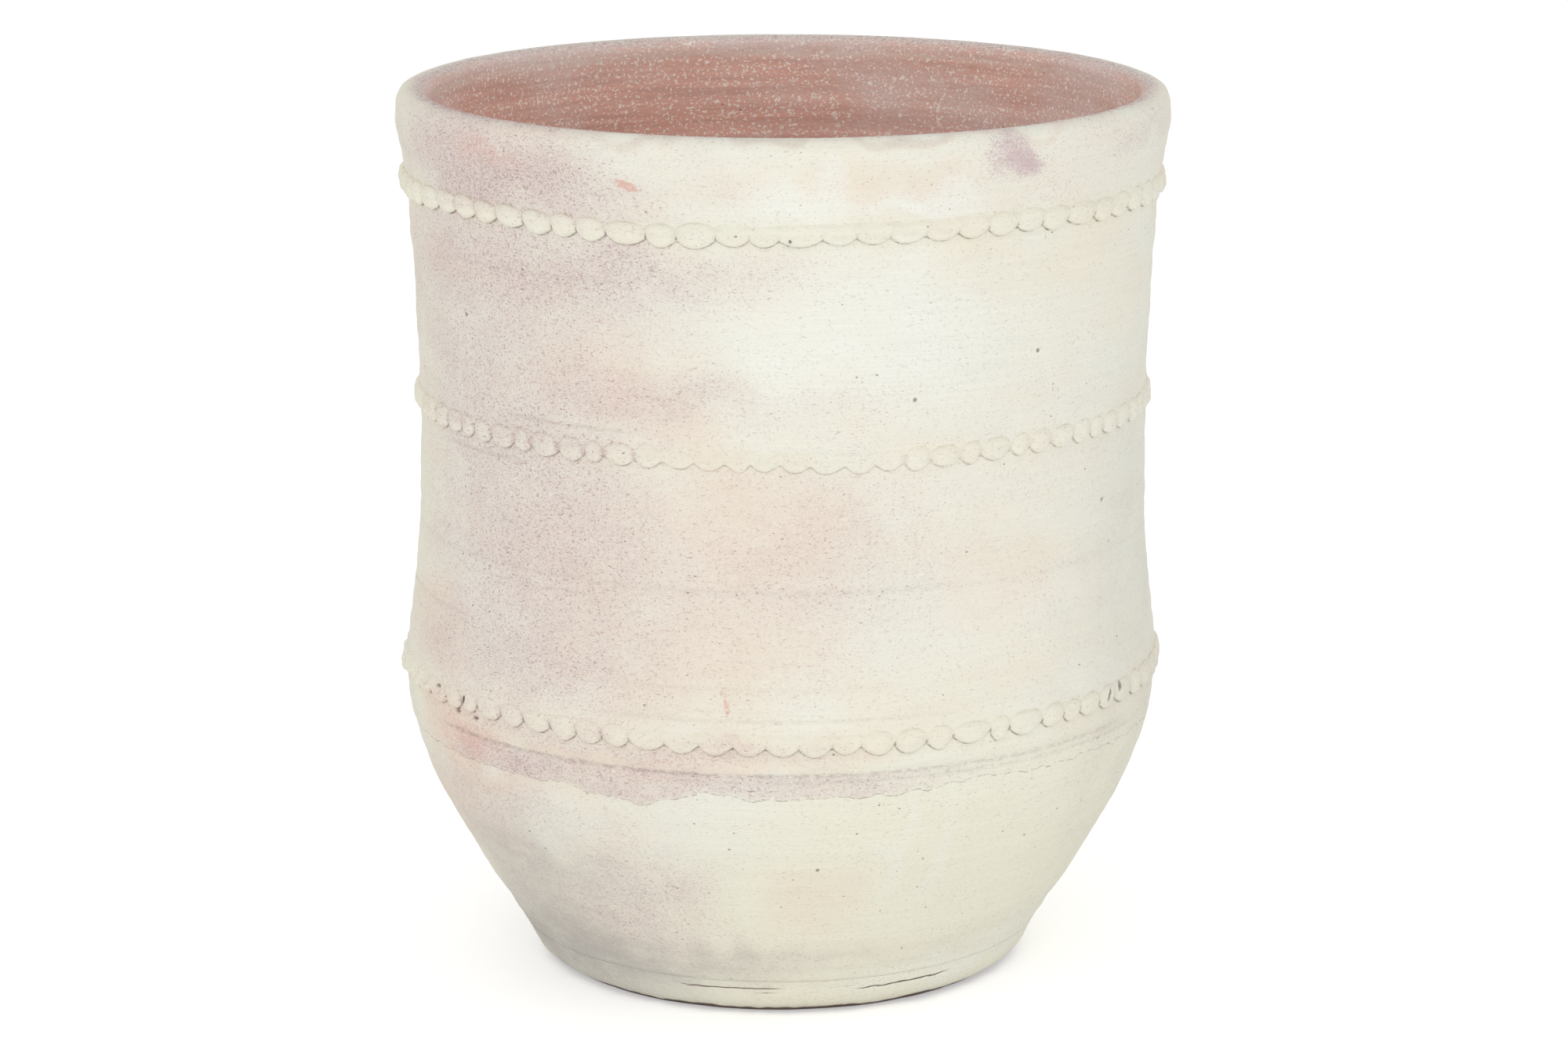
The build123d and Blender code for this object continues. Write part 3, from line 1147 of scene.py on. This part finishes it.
@dataclass
class PressedBand:
    """A strip of clay pressed on over a joint, print by print.

    Each print is scooped by the thumb or left plump. Its lower edge hangs in a scallop and
    overhangs the wall a little, and its top edge is smeared out over the wall.
    """

    node: str
    level: float
    count: int
    drop: float
    rise: float
    relief: float
    scallop: float
    seed: int
    plump_runs: tuple[PlumpRun, ...]
    unevenness: float
    touch: float = 1.0
    slant: float = 0.08
    # How dark the painted shade with some dirt under the lip is; it also scales the painted shade in the
    # cusps and creases.
    seam: float = 0.5
    faint_at: float = 0.0
    faint_half: float = 0.0
    faint_share: float = 1.0
    faint_fade: float = 10.0
    stain_share: float = 0.95
    lip_stain: float = 0.7
    columns_a_print: int = 16
    lip_rows: int = 14
    face_rows: int = 26
    back_rows: int = 4
    hidden_rows: int = 4
    crease: float = 0.45
    plump_crease: float = 0.10
    dish: float = 0.42
    ridge: float = 0.55
    wave: float = 0.8
    hang_spread: float = 0.10
    scallop_spread: float = 0.22
    off_centre: float = 0.12
    top_spread: float = 0.6
    relief_spread: float = 0.14
    plump_shoulder: float = 3.6
    crest_share: float = 0.20
    plump_crest: float = 0.10
    lip_swing: float = 158.0
    lip_tuck: float = 0.38
    smear: float = 0.45
    buried: float = 1.1
    # Painted shade in the creases, in the cusps and under the lip.
    crease_shade: float = 0.35
    cusp_shade: float = 0.5
    lip_shade: float = 0.6

    def prints(self) -> tuple[Array, Array]:
        """Angle of each boundary between two prints, and six random numbers a print from -1 to 1.

        Returns:
            The boundaries, one more than the prints, and the random numbers.
        """
        rng = np.random.default_rng(self.seed)
        pitch = FULL_TURN / self.count
        shifted = np.arange(self.count) + self.unevenness * (rng.random(self.count) - 0.5)
        bounds = pitch * shifted - HALF_TURN
        return np.append(bounds, bounds[0] + FULL_TURN), rng.uniform(-1.0, 1.0, (6, self.count))

    def columns(self) -> tuple[Array, Array, Array]:
        """Angle of each column, its place s in its print from -1 to 1, and the number of its print.

        Returns:
            Angle, place and print number, one for each column.
        """
        bounds, _ = self.prints()
        share = np.tile(np.arange(self.columns_a_print) / self.columns_a_print, self.count)
        number = np.repeat(np.arange(self.count), self.columns_a_print)
        angle = bounds[number] + share * (bounds[number + 1] - bounds[number])
        return angle, 2.0 * share - 1.0, number

    def spread(self, values: Array, number: Array, place: Array) -> Array:
        """A value of each print, shared with the neighbour towards the crease so that nothing jumps.

        Args:
            values: one value a print.
            number: print number of each column.
            place: place of each column in its print.

        Returns:
            The value at each column.
        """
        own = values[number]
        left = 0.5 * (own + values[number - 1])
        right = 0.5 * (own + values[(number + 1) % self.count])
        side = np.where(place < 0.0, left, right)
        return own + (side - own) * np.abs(place) ** 3

    def low_edge(self, number: Array, place: Array) -> Array:
        """Height of the hanging edge: the joint less the drop, plus the scallop times |s|^2.1.

        Args:
            number: print number of each column.
            place: place of each column in its print.

        Returns:
            The height of the lower edge.
        """
        _, chance = self.prints()
        hang = self.drop * (1.0 + self.hang_spread * self.spread(chance[0], number, place))
        scallop = self.scallop * (1.0 + self.scallop_spread * self.spread(chance[1], number, place))
        shifted = place + self.off_centre * chance[2][number] * (1.0 - place**2)
        within = np.clip(np.abs(shifted) / self.touch, 0.0, 1.0)
        return self.level - hang + scallop * within**2.1

    def wobble(self, angle: Array) -> Array:
        """How far the whole strip wanders up and down round the pot."""
        return self.wave * Ripple(self.seed + 1, 7, 0.7, 180.0, 700.0).at(angle, np.zeros_like(angle))

    def edge_at(self, angle: Array) -> Array:
        """Height of the lower edge at any angle, read off the columns of the band."""
        column, place, number = self.columns()
        edge = self.low_edge(number, place) + self.wobble(column)
        leaned = column + self.slanted(column, edge)
        return np.interp(turn_between(angle, 0.0), leaned, edge, period=FULL_TURN)

    def slanted(self, angle: Array, height: Array) -> Array:
        """How far a print leans away from the front with height, most at the pot's sides, in degrees."""
        return self.slant * np.sin(np.radians(angle)) * (height - self.level)

    def plumpness(self, angle: Array) -> Array:
        """1 where the prints were left plump and 0 where they were scooped, by angle."""
        return sum((run.at(angle) for run in self.plump_runs), np.zeros_like(angle))

    def full_relief(self, angle: Array, number: Array, place: Array) -> Array:
        """How far each print stands out in its middle: uneven, and less where the strip is faint.

        Args:
            angle: angle of each column.
            number: print number of each column.
            place: place of each column in its print.

        Returns:
            The relief at each column.
        """
        _, chance = self.prints()
        turn = np.abs(turn_between(angle, self.faint_at))
        faint = smooth_step(self.faint_half + self.faint_fade, self.faint_half - self.faint_fade, turn)
        full = self.relief * (1.0 + self.relief_spread * self.spread(chance[4], number, place))
        return full * (1.0 - (1.0 - self.faint_share) * faint)

    def face(self, y: Array, stand: Array, full: Array, side: Array, plump: Array) -> Array:
        """How far a print's face stands out, from its crest at y = 0 to its smeared top at y = 1.

        A scooped print falls from its crest to the dish, with the clay pushed up as a ridge at
        both sides. A plump one is the flat arc sqrt(1 - y^2.6). Both sink into the wall at the top.

        Args:
            y: share of the way up the face.
            stand: how far the crest stands out, by column.
            full: how far it stands out in the middle of the print.
            side: 0 in the middle of a print and 1 in its creases.
            plump: 1 where the prints are plump.

        Returns:
            How far each point stands out of the wall.
        """
        bowl = 1.0 - (1.0 - self.dish) * smooth_step(0.0, 0.42, y)
        wall = self.ridge * side**2 * smooth_step(0.0, 0.30, y)
        scooped = full * (bowl * (stand / full) + wall) * smooth_step(1.02, 0.50, y)
        rounded = stand * np.sqrt(np.clip(1.0 - y**2.6, 0.0, 1.0))
        return plump * rounded + (1.0 - plump) * scooped - self.smear * smooth_step(0.7, 1.0, y)

    def build(self, form: PotForm, finish: bpy.types.Material) -> bpy.types.Object:
        """The band's mesh.

        Round its section a column starts behind the overhanging lip, turns round the lip on
        an ellipse, climbs the print's face to its smeared top and comes down its buried back.

        Args:
            form: the pot's form, which it lies on.
            finish: its material.

        Returns:
            The band's object.
        """
        angle, place, number = self.columns()
        _, chance = self.prints()
        wander = self.wobble(angle)
        plump = self.plumpness(angle)
        side = np.clip(np.abs(place) / self.touch, 0.0, 1.0)
        low = self.low_edge(number, place) + wander
        top = self.level + self.rise + wander + self.top_spread * self.spread(chance[3], number, place)
        top = top - self.plump_shoulder * plump * side**2.2
        full = self.full_relief(angle, number, place)
        crease = self.crease + (self.plump_crease - self.crease) * plump
        stand = full * (1.0 - (1.0 - crease) * side**2.4)
        crest = low + (self.crest_share + self.plump_crest * plump) * (top - low)
        swing = np.radians(np.linspace(-self.lip_swing, 0.0, self.lip_rows))[:, None]
        lip_out = stand * (self.lip_tuck + (1.0 - self.lip_tuck) * np.cos(swing))
        lip_height = crest + (crest - low) * np.sin(swing)
        y = (np.linspace(0.0, 1.0, self.face_rows + 1)[1:] ** 1.15)[:, None]
        face_height = crest + y * (top - crest)
        back = np.linspace(1.0, 0.0, self.back_rows + 2)[1:-1, None]
        back_height = lip_height[:1] + back * (top - lip_height[:1])
        back_out = np.full((self.back_rows, len(angle)), -self.buried)
        height = np.concatenate([lip_height, face_height, back_height])
        out = np.concatenate([lip_out, self.face(y, stand, full, side, plump), back_out])
        bumpy = Ripple(self.seed + 2, 60, 0.16, 5.0, 16.0).at(angle[None, :], height)
        seen_rows = self.lip_rows + self.face_rows - self.hidden_rows
        front = np.concatenate([np.zeros(self.hidden_rows), np.ones(seen_rows), np.zeros(self.back_rows)])
        out = out + bumpy * front[:, None]
        wide = angle + self.slanted(angle, height)
        layers = self.layers(wide, height, (low, crest, top), side, plump)
        return RingGrid(wide, form.outer(wide, height) + out, height, layers).build(self.node, form, finish)

    def layers(
        self, angle: Array, height: Array, levels: tuple[Array, Array, Array], side: Array, plump: Array
    ) -> dict[Layer, Array]:
        """The wall's layers, weaker on the strip's lip, with painted shade behind the lip, in the cusps and
        in the creases, where the lilac is deepened as painted shade too.

        Args:
            angle: angle of each point.
            height: height of each point.
            levels: the strip's lower edge, crest and top, by column.
            side: 0 in the middle of a print and 1 in its creases.
            plump: 1 where the prints are plump.

        Returns:
            The value of each layer at each point.
        """
        low, crest, top = levels
        layers = wall_layers(angle, height, np.zeros_like(height))
        face = smooth_step(crest, crest + 3.0, height) * (1.0 - 0.3 * plump)
        share = self.lip_stain + (self.stain_share - self.lip_stain) * face
        for name in (Layer.LILAC, Layer.PEACH, Layer.ROSE):
            layers[name] = layers[name] * share
        # Painted shade on the lip's rows that turn in under the overhang.
        behind = np.zeros(len(height))
        behind[: self.lip_rows] = smooth_step(0.5, 0.0, np.linspace(0.0, 1.0, self.lip_rows))
        # Painted shade in the cusps just above the lower edge, and in the creases of plump prints, with
        # deeper lilac there as well.
        cusp = np.exp(-(((1.0 - side) / 0.07) ** 2)) * smooth_step(low + 3.4, low + 1.0, height)
        creased = np.exp(-(((1.0 - side) / 0.12) ** 2)) * plump * smooth_step(top + 1.0, top - 4.0, height)
        layers[Layer.LILAC] = np.clip(layers[Layer.LILAC] * (1.0 + 2.0 * creased), 0.0, 1.0)
        dark = self.seam * (self.cusp_shade * cusp + self.crease_shade * creased) + layers[Layer.DARK]
        layers[Layer.DARK] = np.clip(dark + self.lip_shade * behind[:, None], 0.0, 1.0)
        layers[Layer.SLIP] = np.full_like(height, OUT_OF_REACH)
        layers[Layer.STREAK] = np.zeros_like(height)
        return layers


@dataclass
class WallSection:
    """A ring of wall between two level joints, or up to the rolled lip where it has one."""

    node: str
    low: float
    high: float
    columns: int
    outer_rows: int
    inner_rows: int
    bands: tuple[PressedBand, ...] = ()
    lip: bool = False
    lip_rows: int = 26
    end_rows: int = 2
    corner: float = 0.2
    row_gather: float = 0.35
    lip_power: float = 2.3
    lip_lumps: float = 0.25
    lip_red: float = 0.60
    lip_red_fade: float = 12.0
    lip_lilac: float = 0.85

    def lip_profile(self, form: PotForm) -> tuple[Array, Array]:
        """Rolled lip: a flattened half round from the outer side over the top to the inner side.

        The curve is |x|^2.3 + |y|^2.3 = 1 across the lip, with its top at the pot's height.

        Args:
            form: the pot's form.

        Returns:
            Share of the way from outside to inside, and height, for each row.
        """
        swing = np.linspace(0.0, math.pi, self.lip_rows + 2)[1:-1]
        power = 2.0 / self.lip_power
        across = 0.5 - 0.5 * np.sign(np.cos(swing)) * np.abs(np.cos(swing)) ** power
        height = form.lip_level + (form.top - form.lip_level) * np.sin(swing) ** power
        return across, height

    def under_band_shade(self, angle: Array, outer_height: Array, rows: int) -> tuple[Array, Array]:
        """Distance below the nearest band's edge, and how dark the painted shade with some dirt under that
        band's edge is, for each point.

        Args:
            angle: angle of each column.
            outer_height: heights of the outer side's rows.
            rows: number of all rows, of which those after the outer side are out of reach.

        Returns:
            The distances and the darknesses.
        """
        below = np.full((len(outer_height), angle.shape[1]), OUT_OF_REACH)
        seam = np.zeros(below.shape)
        for band in self.bands:
            gap = band.edge_at(angle) - outer_height
            nearer = np.abs(gap) < np.abs(below)
            below = np.where(nearer, gap, below)
            seam = np.where(nearer, band.seam, seam)
        rest = ((0, rows - len(outer_height)), (0, 0))
        return np.pad(below, rest, constant_values=OUT_OF_REACH), np.pad(seam, rest)

    def build(self, form: PotForm, finish: bpy.types.Material) -> bpy.types.Object:
        """The section's mesh: up the outer side, over the joint or the lip, down the inner side, and back.

        Args:
            form: the pot's form.
            finish: its material.

        Returns:
            The section's object.
        """
        angle = np.arange(self.columns) * FULL_TURN / self.columns - HALF_TURN
        share = np.linspace(0.0, 1.0, self.outer_rows)
        share = share + self.row_gather * np.sin(2.0 * math.pi * share) / (2.0 * math.pi)
        ceiling = form.lip_level if self.lip else self.high
        outer_height = (self.low + (ceiling - self.low) * share)[:, None]
        inner_middle = np.linspace(ceiling - self.corner, self.low + self.corner, self.inner_rows - 2)
        inner_height = np.concatenate([[ceiling], inner_middle, [self.low]])[:, None]
        wide = angle[None, :]
        outer = form.outer(wide, outer_height)
        inner = form.inner(wide, inner_height)
        between = np.linspace(0.0, 1.0, self.end_rows + 2)[1:-1, None]
        if self.lip:
            across, height = self.lip_profile(form)
            top_height = height[:, None]
            top = outer[-1:] + across[:, None] * (inner[:1] - outer[-1:])
            top_height = top_height + self.lip_lumps * form.lumps.at(wide, top_height)
        else:
            top = outer[-1:] + between * (inner[:1] - outer[-1:])
            top_height = np.full_like(between, self.high)
        foot = inner[-1:] + between * (outer[:1] - inner[-1:])
        blocks = (
            (outer, outer_height, 0.0),
            (top, top_height, 0.0),
            (inner, inner_height, 1.0),
            (foot, np.full_like(between, self.low), 1.0),
        )
        radius, height, inside = stacked(blocks)
        if self.lip:
            rows = slice(len(outer), len(outer) + len(top))
            inside[rows] = smooth_step(0.45, 1.0, across)[:, None] * self.lip_red
            near = slice(rows.stop, rows.stop + len(inner))
            reddened = smooth_step(form.lip_level, form.lip_level - self.lip_red_fade, inner_height)
            inside[near] = self.lip_red + (1.0 - self.lip_red) * reddened
        layers = wall_layers(np.broadcast_to(wide, radius.shape), height, inside)
        if self.lip:
            layers[Layer.LILAC][rows] += self.lip_lilac * smooth_step(0.15, 0.75, across)[:, None]
        layers[Layer.BAND], layers[Layer.SEAM] = self.under_band_shade(wide, outer_height, len(radius))
        first = len(outer) - 1
        last = len(outer) + len(top) + len(inner) - 1
        ends = () if self.lip else tuple(range(first, first + len(top) + 1))
        flat = ends + tuple(range(last, len(radius)))
        return RingGrid(angle, radius, height, layers, flat).build(self.node, form, finish)


CRACK_DRIFT = Ripple(seed=23, count=20, amplitude=0.25, shortest=10.0, longest=60.0)
CRACKS = (
    Score(20.2, -26, 4, 1.0, 0.5),
    Score(16.6, -9, 3, 0.8, 0.45),
    Score(18.4, 14, 44, 1.1, 0.55, 0.0, 0.05),
    Score(20.0, 6, 22, 0.5, 0.4, 0.0, 0.02),
    Score(19.0, 120, 170, 1.0, 0.5),
)


@dataclass
class BaseSlab:
    """The floor disc: a flat underside, a rounded and flared edge, and the drain hole."""

    node: str
    height: float
    drain_radius: float = 14.0
    columns: int = 720
    edge_rows: int = 44
    floor_rows: int = 26
    drain_rows: int = 8
    row_gather: float = 1.2
    crack_dark_at: float = 0.8
    # Heights over which the slab's edge darkens towards its bottom, and how dark it gets.
    sole_plain_above: float = 5.2
    sole_darkest_below: float = 3.0
    sole_dark: float = 0.9
    sole_rags: Ripple = Ripple(seed=21, count=24, amplitude=0.5, shortest=12.0, longest=90.0)

    def build(self, form: PotForm, finish: bpy.types.Material) -> bpy.types.Object:
        """The slab's mesh: out along the underside, up the edge, in over the floor, down the hole.

        Args:
            form: the pot's form.
            finish: its material.

        Returns:
            The slab's object.
        """
        angle = np.arange(self.columns) * FULL_TURN / self.columns - HALF_TURN
        wide = angle[None, :]
        edge_height = (self.height * np.linspace(0.0, 1.0, self.edge_rows) ** self.row_gather)[:, None]
        depth = self.crack_depth(wide, edge_height)
        edge = form.outer(wide, edge_height) - depth
        share = np.linspace(0.0, 1.0, self.floor_rows)[1:, None]
        bore = np.full((1, self.columns), self.drain_radius)
        floor = edge[-1:] + share * (bore - edge[-1:])
        drain_height = np.linspace(self.height, 0.0, self.drain_rows)[1:-1, None]
        drain = np.broadcast_to(bore, (len(drain_height), self.columns))
        under = bore + np.linspace(0.0, 1.0, self.floor_rows)[:-1, None] * (edge[:1] - bore)
        blocks = (
            (edge, edge_height, 0.0),
            (floor, np.full_like(share, self.height), 1.0),
            (drain, drain_height, 1.0),
            (under, np.zeros((len(under), 1)), 1.0),
        )
        radius, height, inside = stacked(blocks)
        layers = wall_layers(np.broadcast_to(wide, radius.shape), height, inside)
        crack = np.zeros(radius.shape)
        crack[: len(edge)] = np.clip(depth / self.crack_dark_at, 0.0, 1.0)
        # The slab's edge darkens over its bottom few millimetres, up to a ragged line.
        ragged = height + self.sole_rags.at(wide, 0.0 * height)
        sole = smooth_step(self.sole_plain_above, self.sole_darkest_below, ragged) * (inside < 0.5)
        layers[Layer.DARK] = np.clip(crack + self.sole_dark * sole, 0.0, 1.0)
        flat = tuple(range(len(edge) - 1, len(radius)))
        return RingGrid(angle, radius, height, layers, flat).build(self.node, form, finish)

    def crack_depth(self, angle: Array, height: Array) -> Array:
        """Depth of the shrinkage cracks along the slab's edge, each a narrow bell that wanders a little."""
        drift = CRACK_DRIFT.at(angle, 0.0 * height)
        return sum(line.depth * line.at(angle, height + drift) for line in CRACKS)


@dataclass(frozen=True)
class Lamp:
    """A square soft light: its name, place and target in metres, the length of its side, and its watts."""

    name: str
    place: tuple[float, float, float]
    target: tuple[float, float, float]
    size: float
    power: float

    def hang(self) -> None:
        """Hangs the light at its place, turned so that its face points at the target."""
        light = bpy.data.lights.new(self.name, "AREA")
        light.size = self.size
        light.energy = self.power
        thing = bpy.data.objects.new(self.name, light)
        away = np.array(self.target) - np.array(self.place)
        level = math.hypot(away[0], away[1])
        thing.rotation_euler = (math.atan2(level, -away[2]), 0.0, math.atan2(-away[0], away[1]))
        thing.location = self.place
        bpy.context.collection.objects.link(thing)


LAMPS = (
    Lamp("front_light", (-0.9, -3.4, 2.3), (0.0, 0.0, 0.3), 2.4, 6.5),
    Lamp("low_light", (0.0, -2.6, 0.35), (0.0, 0.0, 0.15), 1.2, 11.0),
    Lamp("left_light", (-2.4, -1.3, 0.6), (0.0, 0.0, 0.3), 1.2, 5.0),
    Lamp("right_light", (2.4, -1.3, 0.3), (0.0, 0.0, 0.12), 1.2, 7.0),
)
WHITE = (1.0, 1.0, 1.0, 1.0)


def seen_plainly(tree: bpy.types.NodeTree) -> Socket:
    """1 for camera, glossy and transmission rays and 0 for others, as the greatest of the three."""
    path = tree.nodes.new("ShaderNodeLightPath")
    result = path.outputs["Is Camera Ray"]
    for kind in ("Is Glossy Ray", "Is Transmission Ray"):
        greater = tree.nodes.new("ShaderNodeMath")
        greater.operation = "MAXIMUM"
        tree.links.new(result, greater.inputs[0])
        tree.links.new(path.outputs[kind], greater.inputs[1])
        result = greater.outputs[0]
    return result


@dataclass(frozen=True)
class Studio:
    """Pale floor, soft light and the camera at the photograph's angle."""

    floor_half: float = 9.0
    floor_steps: int = 5
    floor_level: float = -0.0004
    floor_albedo: float = 0.92
    floor_glow: float = 0.34
    sky: float = 0.775
    backdrop: float = 1.0
    camera_place: tuple[float, float, float] = (0.00165, -3.199, 1.049)
    camera_dip: float = 13.23
    lens: float = 110.16
    film: float = 36.0
    farthest: float = 60.0

    def floor(self) -> None:
        """A large plain floor: matt, and white for the camera through a glow that keeps the shadow."""
        steps = np.linspace(-self.floor_half, self.floor_half, self.floor_steps)
        x, y = np.meshgrid(steps, steps)
        points = np.stack([x, y, np.full_like(x, self.floor_level)], axis=-1).reshape(-1, 3)
        index = np.arange(len(points)).reshape(self.floor_steps, self.floor_steps)
        corners = [index[:-1, :-1], index[:-1, 1:], index[1:, 1:], index[1:, :-1]]
        quads = np.stack(corners, axis=-1).reshape(-1, 4)
        mesh = bpy.data.meshes.new("studio_floor")
        mesh.from_pydata(points.tolist(), [], quads.tolist())
        bench = ShaderBench("studio_floor")
        matt = bench.tree.nodes.new("ShaderNodeBsdfDiffuse")
        matt.inputs["Color"].default_value = (self.floor_albedo, self.floor_albedo, self.floor_albedo, 1.0)
        glow = bench.tree.nodes.new("ShaderNodeEmission")
        glow.inputs["Color"].default_value = WHITE
        bench.join(bench.calc("MULTIPLY", seen_plainly(bench.tree), self.floor_glow), glow.inputs["Strength"])
        both = bench.tree.nodes.new("ShaderNodeAddShader")
        bench.join(matt.outputs[0], both.inputs[0])
        bench.join(glow.outputs[0], both.inputs[1])
        bench.join(both.outputs[0], bench.output.inputs["Surface"])
        mesh.materials.append(bench.material)
        thing = bpy.data.objects.new("studio_floor", mesh)
        bpy.context.collection.objects.link(thing)

    def world(self) -> None:
        """A plain sky: soft light on the object, and white where the camera sees it."""
        world = bpy.data.worlds.new("studio_sky")
        world.use_nodes = True
        tree = world.node_tree
        tree.nodes.clear()
        output = tree.nodes.new("ShaderNodeOutputWorld")
        choice = tree.nodes.new("ShaderNodeMixShader")
        tree.links.new(seen_plainly(tree), choice.inputs[0])
        for target, strength in ((choice.inputs[1], self.sky), (choice.inputs[2], self.backdrop)):
            light = tree.nodes.new("ShaderNodeBackground")
            light.inputs["Color"].default_value = WHITE
            light.inputs["Strength"].default_value = strength
            tree.links.new(light.outputs[0], target)
        tree.links.new(choice.outputs[0], output.inputs["Surface"])
        bpy.context.scene.world = world

    def camera(self) -> None:
        """The camera, dipped towards the pot, with the photograph's lens."""
        lens = bpy.data.cameras.new("studio_camera")
        lens.lens = self.lens
        lens.sensor_width = self.film
        lens.clip_end = self.farthest
        thing = bpy.data.objects.new("studio_camera", lens)
        thing.location = self.camera_place
        thing.rotation_euler = (math.radians(90.0 - self.camera_dip), 0.0, 0.0)
        bpy.context.collection.objects.link(thing)
        bpy.context.scene.camera = thing

    def build(self) -> None:
        """Sets up the whole studio."""
        bpy.context.scene.view_settings.view_transform = "Standard"
        self.floor()
        self.world()
        self.camera()
        for lamp in LAMPS:
            lamp.hang()


def finish_piece(piece: bpy.types.Object, node: str) -> None:
    """Ties a piece to the one body, hides the frame's node that it stands for, and reports it.

    Args:
        piece: the finished object.
        node: the node that it stands for.
    """
    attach(piece, "root")
    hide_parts(node)
    LOG.info("%s: %d faces", piece.name, len(piece.data.polygons))


def level_of(node: str) -> tuple[float, float]:
    """Lowest and highest height of a node of the frame, in millimetres."""
    low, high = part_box(node)
    return round(low[2] / MILLIMETRE, 1), round(high[2] / MILLIMETRE, 1)


def main() -> None:
    """Builds the pot from the floor up, and the studio round it."""
    logging.basicConfig(level=logging.INFO, format="%(name)s %(message)s")
    form = PotForm()
    wall_finish = ClayFinish("weathered_terracotta").make()
    band_finish = ClayFinish("pressed_band_clay", lime=Tint(235, 233, 217)).make()
    slab_finish = ClayFinish("bare_terracotta").make()
    slab_top = level_of("base_slab")[1]
    lower_joint = level_of("bowl_section")[1]
    middle_joint = level_of("waist_section")[1]
    upper_joint = level_of("shoulder_section")[1]
    lower = PressedBand(
        node="lower_band",
        level=lower_joint,
        count=75,
        drop=8.0,
        rise=7.0,
        relief=4.6,
        scallop=5.0,
        seed=31,
        plump_runs=(PlumpRun(16.0, 130.0, 0.95), PlumpRun(-56.0, -24.0, 0.85), PlumpRun(160.0, 230.0, 0.7)),
        unevenness=0.34,
        touch=0.96,
        seam=0.8,
        faint_at=-35.0,
        faint_half=24.0,
        faint_share=0.8,
    )
    middle = PressedBand(
        node="middle_band",
        level=middle_joint,
        count=80,
        drop=7.0,
        rise=7.5,
        relief=4.2,
        scallop=4.6,
        seed=41,
        plump_runs=(PlumpRun(-140.0, -24.0, 1.0), PlumpRun(20.0, 150.0, 0.95)),
        unevenness=0.30,
        touch=0.92,
        seam=0.45,
        faint_at=-1.0,
        faint_half=20.0,
        faint_share=0.5,
    )
    upper = PressedBand(
        node="upper_band",
        level=upper_joint,
        count=70,
        drop=8.0,
        rise=7.0,
        relief=5.2,
        scallop=4.8,
        seed=53,
        plump_runs=(PlumpRun(-130.0, -12.0, 1.0), PlumpRun(30.0, 160.0, 0.6)),
        unevenness=0.26,
        seam=0.8,
        stain_share=0.6,
        lip_stain=0.2,
    )
    slab = BaseSlab("base_slab", slab_top)
    finish_piece(slab.build(form, slab_finish), slab.node)
    walls = (
        WallSection("bowl_section", slab_top, lower_joint, 760, 104, 20, (lower,)),
        WallSection("waist_section", lower_joint, middle_joint, 760, 104, 20, (lower, middle)),
        WallSection("shoulder_section", middle_joint, upper_joint, 760, 92, 22, (middle, upper)),
        WallSection("rim_section", upper_joint, form.top, 760, 50, 34, (upper,), lip=True),
    )
    for wall in walls:
        finish_piece(wall.build(form, wall_finish), wall.node)
    for band in (lower, middle, upper):
        finish_piece(band.build(form, band_finish), band.node)
    Studio().build()


if __name__ == "__main__":
    main()
